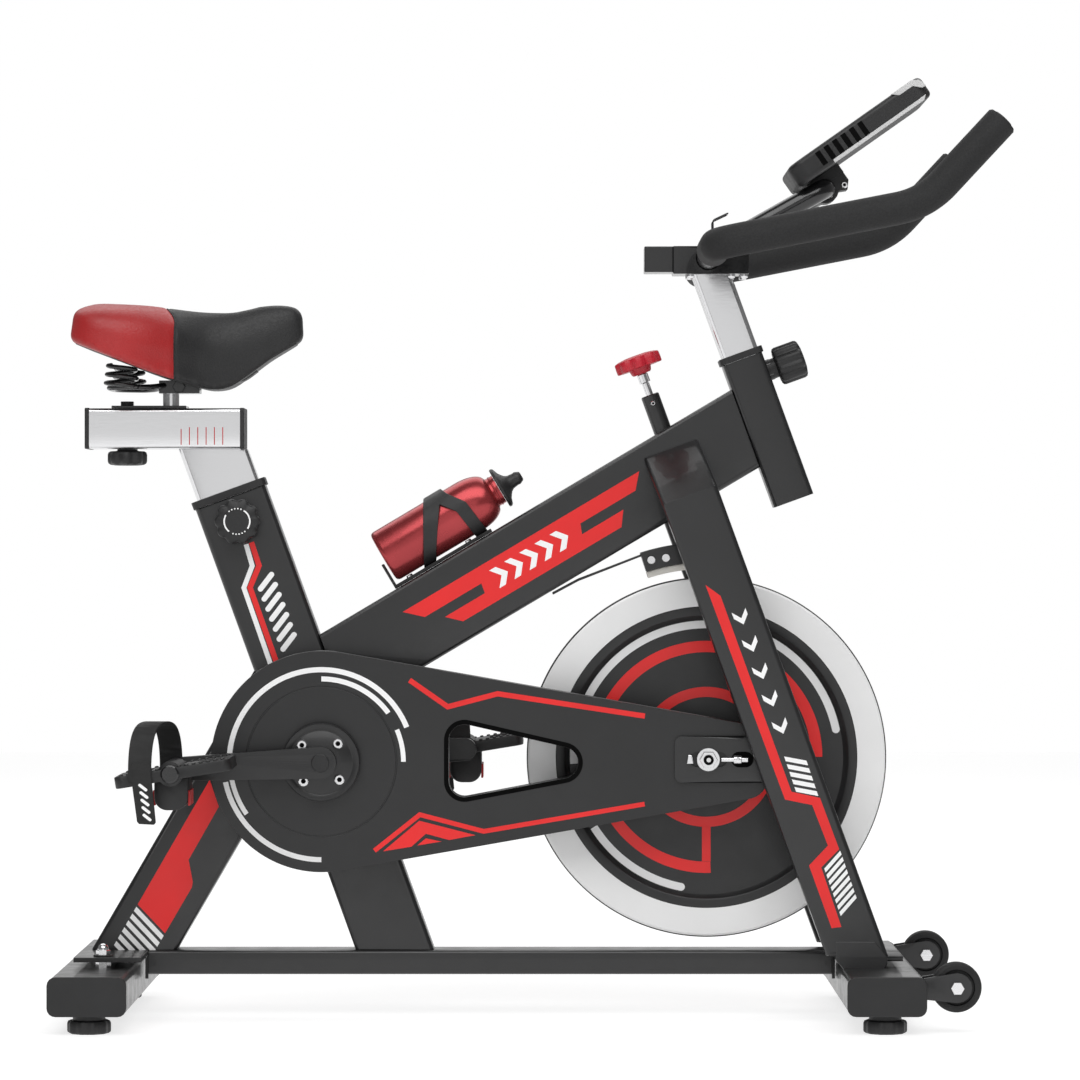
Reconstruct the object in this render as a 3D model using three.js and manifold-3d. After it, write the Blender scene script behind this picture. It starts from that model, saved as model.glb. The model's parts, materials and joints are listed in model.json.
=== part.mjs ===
import * as THREE from 'three';
import { mergeVertices } from 'three/addons/utils/BufferGeometryUtils.js';
import Module from 'manifold-3d';

// Indoor spin bike. Millimetres, +Z up, the rider faces +X, the drive side is -Y.
// Everything is placed from a drawing datum; SHIFT moves it onto the middle of the outline.

// ---------------------------------------------------------------- driving dimensions
const SHIFT = 12.6;
const GAP = 0.3;
const DEG = Math.PI / 180;
const LEAN = 20 * DEG;
const BEAM_SLOPE = 30.75 * DEG;
const LEG_SLOPE = 30.2 * DEG;

const STABILISER = {
  width: 80, height: 40, wall: 2, corner: 6, half: 205, z: 40, rearX: -472, frontX: 361.4,
};
const CAP = { width: 83, height: 41.5, thick: 5, z: 40.25 };
const FOOT = { y: 180, discR: 23, discH: 14, neckR: 17, neckH: 5.7, studR: 5, studH: 15, lobes: 10 };
const RAIL = { width: 50, height: 26, z: 59, x0: -423.7, x1: 315.7 };
const PLATE = { z: 67, thick: 5, lipZ: 41, lipHalf: 19, lipThick: 3.5, boltY: 90, collarR: 6.5 };
const FRAME_TOP = PLATE.z + PLATE.thick + GAP;

const SEAT_TUBE = { x: -338.5, z: 570, width: 80, depth: 40, wall: 2.5, collar: 8 };
const SEAT_POST = { width: 70, depth: 30, wall: 2, insert: 200, pinHoles: 6, pinPitch: 25 };
const HEAD_TUBE = { x: 216.7, z: 718.9, width: 45, depth: 45, wall: 1.8, collar: 7, length: 170.5 };
const BAR_POST = { width: 40, depth: 40, wall: 2, insert: 118 };
const BEAM = { x: -43.3, z: 478.7, height: 88, depth: 44, wall: 2.5 };
const LEG = { x: -407.8, z: 126.7, width: 80, depth: 40, wall: 2 };
const FORK = { x: 317, z: 131.5, width: 62, inner: 66, outer: 96, wall: 2, bendZ: 564, weldZ: 600 };
const PIN = { r: 4, hole: 4.4 };

const AXLE = { x: 180.5, z: 280.6, r: 8 };
const FLYWHEEL = { r: 195, rim: 15, rimInner: 150, web: 7, hubR: 32, hub: 20 };
const CRANK = {
  x: -234.7, z: 278, axleR: 8, shellR: 19, shellHalf: 29, length: 152, tilt: 2.5 * DEG,
  armY: 74, armThick: 15, spiderR: 41.9,
};
const PEDAL = { inner: 100, outer: 196, length: 123, thick: 13, tilt: 9.4 * DEG, spindleR: 6 };
const BELT = { y: 45, width: 13, thick: 3, driveR: 89.5, drivenR: 29.5 };
const COVER = { r: 118.6, noseX: 244, noseHalf: 40, y0: 30, split: 46, y1: 62, wall: 2.5 };

const SLIDER = {
  x0: -492, x1: -320.4, z0: 615, z1: 658.6, half: 27, wall: 2.5, slotX0: -472, slotX1: -408,
};
const CARRIAGE = { x0: -464, x1: -383, half: 20, thick: 2.6, stemX: -401, stemR: 8.5, boltX: -448.5 };
const GRIP = { r: 17, tubeR: 12.5, y: 262 };
const BAR = { rearX: 182, rearZ: 821, bendX: 396, bendZ: 862.5, tipX: 475.9, tipZ: 948.4 };
const STEM = { x0: 144, x1: 226, z0: 804, z1: 834, half: 26, rearX: 113, rearHalf: 20 };
const CONSOLE = { x0: 271.7, z0: 904.5, x1: 416, z1: 1006, thick: 26, half: 75 };
const BRAKE = { x: 119.3, z: 673.6, tubeR: 10, boreR: 4.6, rodR: 4, knobR: 25.5, knobLift: 38 };
const BOTTLE = { x: -170, z: 497, r: 29.6, body: 135, neckR: 16.5, neck: 11 };
const WHEEL = { x: 435, z: 48.8, y: 187, r: 26.3, width: 18, boltR: 5 };

// ---------------------------------------------------------------- colours and finishes
function finish(color, roughness, metalness) {
  return new THREE.MeshStandardMaterial({ color, roughness, metalness });
}
const FRAME_PAINT = finish(0x2e2e2f, 0.45, 0.3);
const BLACK_PLASTIC = finish(0x161617, 0.5, 0);
const COVER_PLASTIC = finish(0x232324, 0.4, 0);
const CHROME = finish(0xd0d0d2, 0.15, 1);
const STEEL = finish(0xa9abad, 0.35, 1);
const WHEEL_IRON = finish(0x262627, 0.4, 0.4);
const RUBBER = finish(0x121212, 0.85, 0);
const FOAM = finish(0x151515, 0.95, 0);
const FELT = finish(0xb9b6ae, 0.95, 0);
const RED_KNOB = finish(0xb52838, 0.45, 0);
const RED_METAL = finish(0xa5282c, 0.3, 0.8);
const SADDLE_SKIN = finish(0x1c1c1d, 0.7, 0);

// ---------------------------------------------------------------- solids
const wasm = await Module();
wasm.setup();

const X = new THREE.Vector3(1, 0, 0);
const Y = new THREE.Vector3(0, 1, 0);
const Z = new THREE.Vector3(0, 0, 1);
const at = (x, y, z) => new THREE.Vector3(x, y, z);

// Closed triangles from a three.js geometry, outward, as a solid that can be cut and joined.
function solid(geometry) {
  const bare = geometry.clone();
  bare.deleteAttribute('normal');
  bare.deleteAttribute('uv');
  const merged = mergeVertices(bare, 1e-3);
  const position = merged.attributes.position.array;
  const index = merged.index.array;
  const kept = [];
  let volume = 0;
  for (let i = 0; i < index.length; i += 3) {
    const [a, b, c] = [index[i], index[i + 1], index[i + 2]];
    if (a === b || b === c || c === a) continue;
    kept.push(a, b, c);
    const [p, q, r] = [a, b, c].map((k) => at(position[3 * k], position[3 * k + 1], position[3 * k + 2]));
    volume += p.dot(q.cross(r));
  }
  if (volume < 0) kept.reverse();
  const vertProperties = Float32Array.from(position);
  return new wasm.Manifold(new wasm.Mesh({ numProp: 3, vertProperties, triVerts: Uint32Array.from(kept) }));
}

function geometryOf(body) {
  const mesh = body.getMesh();
  const geometry = new THREE.BufferGeometry();
  geometry.setAttribute('position', new THREE.BufferAttribute(Float32Array.from(mesh.vertProperties), 3));
  geometry.setIndex(new THREE.BufferAttribute(Uint32Array.from(mesh.triVerts), 1));
  geometry.computeVertexNormals();
  return geometry;
}

const join = (first, ...more) => more.reduce((sum, body) => sum.add(body), first);
const cut = (first, ...more) => more.reduce((rest, body) => rest.subtract(body), first);

// An outline drawn on the plane of u and v through an origin, extruded along u x v.
function prism(outline, origin, u, v, from, to, curveSegments = 2) {
  const points = Array.isArray(outline) ? outline.map(([a, b]) => new THREE.Vector2(a, b)) : null;
  const shape = points ? new THREE.Shape(points) : outline;
  const settings = { depth: to - from, bevelEnabled: false, curveSegments };
  const geometry = new THREE.ExtrudeGeometry(shape, settings);
  geometry.translate(0, 0, from);
  const w = u.clone().cross(v);
  geometry.applyMatrix4(new THREE.Matrix4().makeBasis(u, v, w).setPosition(origin));
  return solid(geometry);
}

// A side outline in X and Z, between two values of Y.
function side(outline, y0, y1, curveSegments = 4) {
  return prism(outline, at(0, 0, 0), X, Z, -y1, -y0, curveSegments);
}

function block(x0, x1, y0, y1, z0, z1) {
  const geometry = new THREE.BoxGeometry(x1 - x0, y1 - y0, z1 - z0);
  geometry.translate((x0 + x1) / 2, (y0 + y1) / 2, (z0 + z1) / 2);
  return solid(geometry);
}

// A turned piece: [radius, distance along the axis] pairs.
function turned(profile, origin, axis, segments = 24) {
  const geometry = new THREE.LatheGeometry(profile.map(([r, h]) => new THREE.Vector2(r, h)), segments);
  geometry.applyQuaternion(new THREE.Quaternion().setFromUnitVectors(Y, axis));
  geometry.translate(origin.x, origin.y, origin.z);
  return solid(geometry);
}

function rod(from, to, radius, segments = 16) {
  const axis = to.clone().sub(from);
  const length = axis.length();
  return turned([[0, 0], [radius, 0], [radius, length], [0, length]], from, axis.normalize(), segments);
}

function ring(from, to, outer, inner, segments = 24) {
  const axis = to.clone().sub(from);
  const length = axis.length();
  const profile = [[inner, 0], [outer, 0], [outer, length], [inner, length], [inner, 0]];
  return turned(profile, from, axis.normalize(), segments);
}

function roundedRect(width, height, radius, cx = 0, cy = 0) {
  const shape = new THREE.Shape();
  const [a, b] = [width / 2 - radius, height / 2 - radius];
  shape.absarc(cx + a, cy - b, radius, -Math.PI / 2, 0);
  shape.absarc(cx + a, cy + b, radius, 0, Math.PI / 2);
  shape.absarc(cx - a, cy + b, radius, Math.PI / 2, Math.PI);
  shape.absarc(cx - a, cy - b, radius, Math.PI, 1.5 * Math.PI);
  shape.closePath();
  return shape;
}

function circle(radius, cx = 0, cy = 0) {
  const shape = new THREE.Shape();
  shape.absarc(cx, cy, radius, 0, 2 * Math.PI);
  return shape;
}

// A straight piece in the side plane: its direction and the direction across its side profile.
function leaning(x, z, angleFromVertical) {
  const dir = at(Math.sin(angleFromVertical), 0, Math.cos(angleFromVertical));
  const across = at(dir.z, 0, -dir.x);
  const origin = at(x, 0, z);
  const point = (along, offset = 0, y = 0) => origin.clone()
    .addScaledVector(dir, along)
    .addScaledVector(across, offset)
    .addScaledVector(Y, y);
  return { dir, across, origin, point };
}

// A rectangular tube or bar along such a line.
function boxBar(line, width, depth, corner, from, to, y = 0) {
  return prism(roundedRect(width, depth, corner), line.point(0, 0, y), line.across, Y, from, to, 2);
}

function boxTube(line, width, depth, corner, wall, from, to, y = 0) {
  const outer = boxBar(line, width, depth, corner, from, to, y);
  const inner = Math.max(corner - wall, 1);
  const bore = boxBar(line, width - 2 * wall, depth - 2 * wall, inner, from - 1, to + 1, y);
  return cut(outer, bore);
}

// Keeps the side of a cutting plane that its normal points to.
function trim(body, point, normal) {
  const BIG = 1500;
  const outline = [[0, -BIG], [BIG, -BIG], [BIG, BIG], [0, BIG]];
  const down = at(normal.z, 0, -normal.x);
  return body.intersect(prism(outline, at(point.x, -BIG, point.z), normal, down, 0, 2 * BIG));
}

// Corners joined by arcs, as points for a swept piece.
function bent(corners, radius, steps = 4) {
  const points = [corners[0]];
  for (let i = 1; i < corners.length - 1; i += 1) {
    const back = corners[i - 1].clone().sub(corners[i]);
    const ahead = corners[i + 1].clone().sub(corners[i]);
    const reach = Math.min(radius, 0.49 * back.length(), 0.49 * ahead.length());
    const start = corners[i].clone().addScaledVector(back.normalize(), reach);
    const end = corners[i].clone().addScaledVector(ahead.normalize(), reach);
    const curve = new THREE.QuadraticBezierCurve3(start, corners[i], end);
    points.push(...curve.getPoints(steps));
  }
  points.push(corners[corners.length - 1]);
  return points;
}

// A path that keeps its own points, so that straight stretches take no extra steps.
class Route extends THREE.Curve {
  constructor(points) {
    super();
    this.points = points;
  }

  getPointAt(t) {
    return this.points[Math.round(t * (this.points.length - 1))].clone();
  }

  getTangentAt(t) {
    const i = Math.round(t * (this.points.length - 1));
    const before = this.points[Math.max(i - 1, 0)];
    const here = this.points[i];
    const after = this.points[Math.min(i + 1, this.points.length - 1)];
    const tangent = at(0, 0, 0);
    if (i > 0) tangent.add(here.clone().sub(before).normalize());
    if (i < this.points.length - 1) tangent.add(after.clone().sub(here).normalize());
    return tangent.normalize();
  }
}

function swept(shape, points, curveSegments = 12) {
  const extrudePath = new Route(points);
  const settings = { steps: points.length - 1, extrudePath, bevelEnabled: false, curveSegments };
  return solid(new THREE.ExtrudeGeometry(shape, settings));
}

const bike = new THREE.Group();
function add(name, body, material) {
  const mesh = new THREE.Mesh(geometryOf(body), material);
  mesh.name = name;
  mesh.position.set(SHIFT, 0, 0);
  bike.add(mesh);
}

const SIDES = [['right', -1], ['left', 1]];

// ---------------------------------------------------------------- base
const seatLine = leaning(SEAT_TUBE.x, SEAT_TUBE.z, -LEAN);
const headLine = leaning(HEAD_TUBE.x, HEAD_TUBE.z, -LEAN);
const beamLine = leaning(BEAM.x, BEAM.z, Math.PI / 2 - BEAM_SLOPE);
const legLine = leaning(LEG.x, LEG.z, LEG_SLOPE);
const forkLine = leaning(FORK.x, FORK.z, -LEAN);

function stabiliser(x) {
  const { width, height, corner, wall, half, z } = STABILISER;
  const section = (inset) => roundedRect(height - 2 * inset, width - 2 * inset, corner - inset);
  const outer = prism(section(0), at(x, 0, z), Z, X, -half, half);
  const bore = prism(section(wall), at(x, 0, z), Z, X, -half - 1, half + 1);
  const studs = SIDES.map(([, s]) => rod(at(x, s * FOOT.y, 0), at(x, s * FOOT.y, z), FOOT.studR + GAP));
  return cut(outer, bore, ...studs);
}

// Outside plate with a plug that sits in the tube's end.
function endCap(x, s) {
  const { width, height, thick, z } = CAP;
  const { half, wall, corner } = STABILISER;
  const face = prism(roundedRect(height, width, 9), at(x, 0, z), Z, X, half + GAP, half + thick);
  const plugSize = [STABILISER.height - 2 * wall - 1, STABILISER.width - 2 * wall - 1];
  const plugSection = roundedRect(...plugSize, corner - wall);
  const plug = prism(plugSection, at(x, 0, STABILISER.z), Z, X, half - 8, half + 1);
  const cap = face.add(plug);
  return s > 0 ? cap : cap.mirror([0, 1, 0]);
}

function foot(x, y) {
  const outline = new THREE.Shape();
  for (let i = 0; i < 2 * FOOT.lobes; i += 1) {
    const angle = (Math.PI * i) / FOOT.lobes;
    const r = i % 2 ? FOOT.discR : FOOT.discR - 1.6;
    const move = i ? 'lineTo' : 'moveTo';
    outline[move](r * Math.cos(angle), r * Math.sin(angle));
  }
  outline.closePath();
  const neckTop = FOOT.discH + FOOT.neckH;
  const disc = prism(outline, at(x, y, 0), X, Y, 0, FOOT.discH);
  const neck = rod(at(x, y, FOOT.discH - 1), at(x, y, neckTop), FOOT.neckR);
  const stud = rod(at(x, y, FOOT.discH), at(x, y, neckTop + FOOT.studH), FOOT.studR - GAP, 12);
  return join(disc, neck, stud);
}

// A plate across a stabiliser with a turned-down lip towards the base rail and bolt collars below.
function bracket(x0, x1, halfWidth, lipX, boltX) {
  const top = block(x0, x1, -halfWidth, halfWidth, PLATE.z, PLATE.z + PLATE.thick);
  const lip = block(lipX, lipX + PLATE.lipThick, -PLATE.lipHalf, PLATE.lipHalf, PLATE.lipZ, PLATE.z + 1);
  const tubeTop = STABILISER.z + STABILISER.height / 2;
  const collars = SIDES.map(([, s]) => {
    const y = s * PLATE.boltY;
    return rod(at(boltX, y, tubeTop + GAP), at(boltX, y, PLATE.z + 1), PLATE.collarR);
  });
  return join(top, lip, ...collars);
}

// Cheeks and bolt of one transport wheel, welded to the front face of the front stabiliser.
function wheelMount(s) {
  const { x, z, y, width, boltR } = WHEEL;
  const face = STABILISER.frontX + STABILISER.width / 2;
  const arm = new THREE.Shape();
  arm.moveTo(face - 1, z - 12);
  arm.lineTo(x, z - 15.6);
  arm.absarc(x, z, 15.6, -Math.PI / 2, Math.PI / 2);
  arm.lineTo(face - 1, z + 10);
  arm.closePath();
  const inside = width / 2 + 1;
  const outside = inside + 3;
  const cheeks = [side(arm, s * y + inside, s * y + outside), side(arm, s * y - outside, s * y - inside)];
  const bolt = rod(at(x, s * y - outside, z), at(x, s * y + outside, z), boltR);
  return join(...cheeks, bolt);
}

function transportWheel(s) {
  const { x, z, y, width, r, boltR } = WHEEL;
  const h = width / 2;
  const profile = [
    [boltR + GAP, -h], [r - 8, -h], [r - 2, -h + 1], [r, -h + 4], [r, h - 4],
    [r - 2, h - 1], [r - 8, h], [boltR + GAP, h], [boltR + GAP, -h],
  ];
  return turned(profile, at(x, s * y, z), Y, 16);
}

add('stabiliser_tube_rear', stabiliser(STABILISER.rearX), FRAME_PAINT);
const frontStabiliser = join(stabiliser(STABILISER.frontX), wheelMount(-1), wheelMount(1));
add('stabiliser_tube_front', frontStabiliser, FRAME_PAINT);
for (const [name, s] of SIDES) {
  add(`end_cap_rear_${name}`, endCap(STABILISER.rearX, s), BLACK_PLASTIC);
  add(`end_cap_front_${name}`, endCap(STABILISER.frontX, s), BLACK_PLASTIC);
  add(`foot_rear_${name}`, foot(STABILISER.rearX, s * FOOT.y), BLACK_PLASTIC);
  add(`foot_front_${name}`, foot(STABILISER.frontX, s * FOOT.y), BLACK_PLASTIC);
  add(`transport_wheel_${name}`, transportWheel(s), RUBBER);
}
add('bracket_rear', bracket(-496, -424, 108, -424 - PLATE.lipThick, -466), FRAME_PAINT);
add('bracket_front', bracket(316, 387, 112, 316, 357), FRAME_PAINT);

const railSection = roundedRect(RAIL.width, RAIL.height, 4);
const railBore = roundedRect(RAIL.width - 4, RAIL.height - 4, 2);
const rail = cut(
  prism(railSection, at(0, 0, RAIL.z), Y, Z, RAIL.x0, RAIL.x1),
  prism(railBore, at(0, 0, RAIL.z), Y, Z, RAIL.x0 - 1, RAIL.x1 + 1),
);
add('base_rail', rail, FRAME_PAINT);

// ---------------------------------------------------------------- frame tubes
const floorCut = (body) => trim(body, at(0, 0, FRAME_TOP), Z);
const seatRear = seatLine.point(0, -SEAT_TUBE.width / 2 - GAP);
const seatFront = seatLine.point(0, SEAT_TUBE.width / 2 + GAP);
const headRear = headLine.point(0, -HEAD_TUBE.width / 2 - GAP);
const rearward = seatLine.across.clone().negate();

const legTube = boxTube(legLine, LEG.width, LEG.depth, 6, LEG.wall, -150, 500);
add('rear_leg', floorCut(trim(legTube, seatRear, rearward)), FRAME_PAINT);

const seatTubeTop = -SEAT_TUBE.collar - GAP;
const pinAlong = (536 - SEAT_TUBE.z) / Math.cos(LEAN);
function seatTube() {
  const { width, depth, wall } = SEAT_TUBE;
  const tube = floorCut(boxTube(seatLine, width, depth, 6, wall, -600, seatTubeTop));
  const shellFrom = at(CRANK.x, -CRANK.shellHalf, CRANK.z);
  const shellTo = at(CRANK.x, CRANK.shellHalf, CRANK.z);
  const pinHole = rod(seatLine.point(pinAlong, 0, -30), seatLine.point(pinAlong), PIN.hole, 8);
  const opened = cut(tube, rod(shellFrom, shellTo, CRANK.shellR - 0.1, 20), pinHole);
  return opened.add(ring(shellFrom, shellTo, CRANK.shellR, CRANK.axleR + GAP, 20));
}
add('seat_tube', seatTube(), FRAME_PAINT);

// A plastic collar that seats on a tube's end and guides the post.
function collar(line, tube, post, height, corner) {
  const outer = boxBar(line, tube.width + 4, tube.depth + 4, corner, -height, 0);
  const bore = boxBar(line, post.width + 2 * GAP, post.depth + 2 * GAP, 4, -height - 1, 1);
  return outer.subtract(bore);
}
add('seat_collar', collar(seatLine, SEAT_TUBE, SEAT_POST, SEAT_TUBE.collar, 7), BLACK_PLASTIC);

const headPinAlong = -28;
function headTube() {
  const { width, depth, wall, collar: rise, length } = HEAD_TUBE;
  const tube = boxTube(headLine, width, depth, 5, wall, -length, -rise - GAP);
  const pinHole = rod(headLine.point(headPinAlong), headLine.point(headPinAlong, 40), PIN.hole, 8);
  return tube.subtract(pinHole);
}
add('head_tube', headTube(), FRAME_PAINT);
add('head_collar', collar(headLine, HEAD_TUBE, BAR_POST, HEAD_TUBE.collar, 6), BLACK_PLASTIC);

const brakeLine = leaning(BRAKE.x, BRAKE.z, -LEAN);
function mainBeam() {
  const tube = boxTube(beamLine, BEAM.height, BEAM.depth, 6, BEAM.wall, -330, 350);
  const brakeHole = rod(brakeLine.point(-180), brakeLine.point(20), BRAKE.tubeR + GAP, 20);
  const ends = trim(trim(tube, seatFront, seatLine.across), headRear, rearward);
  return ends.subtract(brakeHole);
}
add('main_beam', mainBeam(), FRAME_PAINT);

// ---------------------------------------------------------------- fork with axle dropouts
function forkLeg(s) {
  const { width, inner, outer, wall, bendZ, weldZ } = FORK;
  const bend = (bendZ - FORK.z) / Math.cos(LEAN);
  const weld = (weldZ - FORK.z) / Math.cos(LEAN);
  const beamFace = BEAM.depth / 2 + GAP;
  const outline = [
    [-inner, -80], [-outer, -80], [-outer, bend],
    [-beamFace, weld + 18], [-beamFace, weld - 16], [-inner, bend - 12],
  ];
  // Drawn from the front, extruded across the leg's side profile.
  const leg = prism(outline, forkLine.origin, Y, forkLine.dir, -width / 2, width / 2);
  const middle = -(inner + outer) / 2;
  const bore = boxBar(forkLine, width - 2 * wall, outer - inner - 2 * wall, 1, -90, bend - 16, middle);
  const { x, z, r } = AXLE;
  const drop = new THREE.Shape();
  drop.moveTo(x - 28, z - 25);
  drop.lineTo(x + 80, z - 25);
  drop.lineTo(x + 66, z + 25);
  drop.lineTo(x - 28, z + 25);
  drop.absarc(x - 28, z + 17, 8, Math.PI / 2, Math.PI);
  drop.absarc(x - 28, z - 17, 8, Math.PI, 1.5 * Math.PI);
  drop.closePath();
  const slot = new THREE.Shape();
  slot.absarc(x - 12, z, r + GAP, Math.PI / 2, 1.5 * Math.PI);
  slot.absarc(x + 12, z, r + GAP, -Math.PI / 2, Math.PI / 2);
  slot.closePath();
  const plate = side(drop, -inner - 0.5, -inner + 3.6).subtract(side(slot, -inner - 2, -inner + 6));
  const whole = floorCut(cut(leg, bore)).add(plate);
  return s < 0 ? whole : whole.mirror([0, 1, 0]);
}
for (const [name, s] of SIDES) add(`fork_leg_${name}`, forkLeg(s), FRAME_PAINT);

// ---------------------------------------------------------------- flywheel and its drive
function flywheel() {
  const { r, rim, rimInner, web, hubR, hub } = FLYWHEEL;
  const bore = AXLE.r + GAP;
  const half = [
    [bore, hub], [hubR, hub], [hubR, web], [rimInner, web],
    [rimInner + 4, rim - 2], [r - 3, rim - 1], [r, rim - 4],
  ];
  const mirrored = half.map(([radius, y]) => [radius, -y]).reverse();
  return turned([...half, ...mirrored, half[0]], at(AXLE.x, 0, AXLE.z), Y, 48);
}
add('flywheel', flywheel(), WHEEL_IRON);

const axleAt = (y) => at(AXLE.x, y, AXLE.z);
add('flywheel_axle', rod(axleAt(-80), axleAt(80), AXLE.r, 20), STEEL);

// A flat-rimmed pulley with a thin web and a hub that reaches towards the frame.
function pulley(centre, r, hubR, boreR, hubFrom, webHalf, segments) {
  const half = BELT.width / 2 + 1;
  const y = -BELT.y;
  const profile = [
    [boreR, y - half], [hubR, y - half], [hubR, y - webHalf], [r - 6, y - webHalf],
    [r - 6, y - half], [r, y - half], [r, y + half], [r - 6, y + half],
    [r - 6, y + webHalf], [hubR, y + webHalf], [hubR, hubFrom], [boreR, hubFrom],
    [boreR, y - half],
  ];
  return turned(profile, centre, Y, segments);
}
const crankCentre = at(CRANK.x, 0, CRANK.z);
add('drive_pulley', pulley(crankCentre, BELT.driveR, 22, CRANK.axleR + GAP, -34, 3, 32), BLACK_PLASTIC);
const hubSide = -FLYWHEEL.hub - GAP;
add('driven_pulley', pulley(axleAt(0), BELT.drivenR, 16, AXLE.r + GAP, hubSide, 3, 18), STEEL);

// The line that touches two circles from above or below, for the belt and its cover.
function touchPoints(a, ra, b, rb, sign) {
  const span = Math.hypot(b.x - a.x, b.z - a.z);
  const turn = Math.atan2(b.z - a.z, b.x - a.x) + sign * Math.acos((ra - rb) / span);
  const on = (c, r) => [c.x + r * Math.cos(turn), c.z + r * Math.sin(turn)];
  return { turn, start: on(a, ra), end: on(b, rb) };
}

function beltLoop(grow) {
  const [ra, rb] = [BELT.driveR + grow, BELT.drivenR + grow];
  const top = touchPoints(CRANK, ra, AXLE, rb, 1).turn;
  const bottom = touchPoints(CRANK, ra, AXLE, rb, -1).turn;
  const loop = new THREE.Shape();
  loop.absarc(CRANK.x, CRANK.z, ra, top, bottom + 2 * Math.PI);
  loop.absarc(AXLE.x, AXLE.z, rb, bottom, top);
  loop.closePath();
  return loop;
}
const beltFrom = -BELT.y - BELT.width / 2;
const beltTo = -BELT.y + BELT.width / 2;
const belt = side(beltLoop(GAP + BELT.thick), beltFrom, beltTo, 14)
  .subtract(side(beltLoop(GAP), beltFrom - 1, beltTo + 1, 14));
add('belt', belt, RUBBER);

// ---------------------------------------------------------------- belt cover, two shells with a window
const coverNose = { x: COVER.noseX - 22, z: CRANK.z };
function coverOutline(inset) {
  const r = COVER.r - inset;
  const noseR = 22 - inset;
  const half = COVER.noseHalf - inset;
  const rise = Math.asin((COVER.r - COVER.noseHalf) / (coverNose.x - CRANK.x));
  const outline = new THREE.Shape();
  outline.absarc(CRANK.x, CRANK.z, r, Math.PI / 2 - rise, 1.5 * Math.PI + rise);
  outline.absarc(coverNose.x, CRANK.z - half + noseR, noseR, 1.5 * Math.PI + rise, 2 * Math.PI);
  outline.absarc(coverNose.x, CRANK.z + half - noseR, noseR, 0, Math.PI / 2 - rise);
  outline.closePath();
  return outline;
}

// A three-cornered window with round corners, wide towards the cranks.
function windowOutline(grow) {
  const corners = [[-81, 257, 17], [24, 277, 17], [-81, 301, 17]];
  const outline = new THREE.Shape();
  corners.forEach(([x, z, r], i) => {
    const before = corners[(i + 2) % 3];
    const after = corners[(i + 1) % 3];
    const inward = Math.atan2(z - before[1], x - before[0]) - Math.PI / 2;
    const outward = Math.atan2(after[1] - z, after[0] - x) - Math.PI / 2;
    outline.absarc(x, z, r + grow, inward, outward < inward ? outward + 2 * Math.PI : outward);
  });
  outline.closePath();
  return outline;
}

function coverShell(faceY, splitY) {
  const [low, high] = [Math.min(faceY, splitY), Math.max(faceY, splitY)];
  const { wall } = COVER;
  const outer = side(coverOutline(0), low, high, 10);
  const inside = faceY < splitY ? [low + wall, high + 1] : [low - 1, high - wall];
  const hollow = side(coverOutline(wall), ...inside, 10).subtract(side(windowOutline(wall), -90, 0, 3));
  const opening = side(windowOutline(0), -90, 0, 3);
  return cut(outer, hollow, opening);
}
const crankAt = (y) => at(CRANK.x, y, CRANK.z);
const outerShell = cut(
  coverShell(-COVER.y1, -COVER.split),
  rod(crankAt(-90), crankAt(-50), 24, 28),
  rod(axleAt(-90), axleAt(-50), AXLE.r + 1.5, 16),
);
const innerShell = cut(
  coverShell(-COVER.y0, -COVER.split + GAP),
  rod(crankAt(-40), crankAt(0), 24, 28),
  rod(axleAt(-40), axleAt(0), 18, 24),
);
add('cover_outer', outerShell, COVER_PLASTIC);
add('cover_inner', innerShell, COVER_PLASTIC);

// ---------------------------------------------------------------- cranks and pedals
add('crank_axle', rod(crankAt(-88), crankAt(88), CRANK.axleR, 20), STEEL);

// The right arm points to the rear and carries the spider; the left arm points forward.
function pedalCentre(s) {
  const reach = s * CRANK.length;
  return at(CRANK.x + reach * Math.cos(CRANK.tilt), 0, CRANK.z + reach * Math.sin(CRANK.tilt));
}

function crankArm(s) {
  const end = pedalCentre(s);
  const lineAngle = Math.atan2(end.z - CRANK.z, end.x - CRANK.x);
  const outline = new THREE.Shape();
  outline.absarc(CRANK.x, CRANK.z, 17, lineAngle + 1.6, lineAngle - 1.6 + 2 * Math.PI);
  outline.absarc(end.x, end.z, 12.5, lineAngle - 1.6, lineAngle + 1.6);
  outline.closePath();
  const y0 = CRANK.armY;
  const y1 = y0 + CRANK.armThick;
  const [from, to] = s < 0 ? [-y1, -y0] : [y0, y1];
  const arm = side(outline, from, to, 8);
  const spider = rod(crankAt(-y0 - 1), crankAt(-y0 + 8), CRANK.spiderR, 28);
  const boss = rod(crankAt(y0 - 4), crankAt(y0 + 1), 24, 20);
  const bore = rod(crankAt(s * (y0 - 20)), crankAt(s * (y1 + 1)), CRANK.axleR + GAP, 20);
  return join(arm, s < 0 ? spider : boss, pedalSpindle(s)).subtract(bore);
}

// The spindle is screwed into the arm for good, so it is part of the arm.
function pedalSpindle(s) {
  const end = pedalCentre(s);
  const from = end.clone().setY(s * (CRANK.armY + 2));
  return rod(from, end.clone().setY(s * (PEDAL.outer - 8)), PEDAL.spindleR, 14);
}

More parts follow.
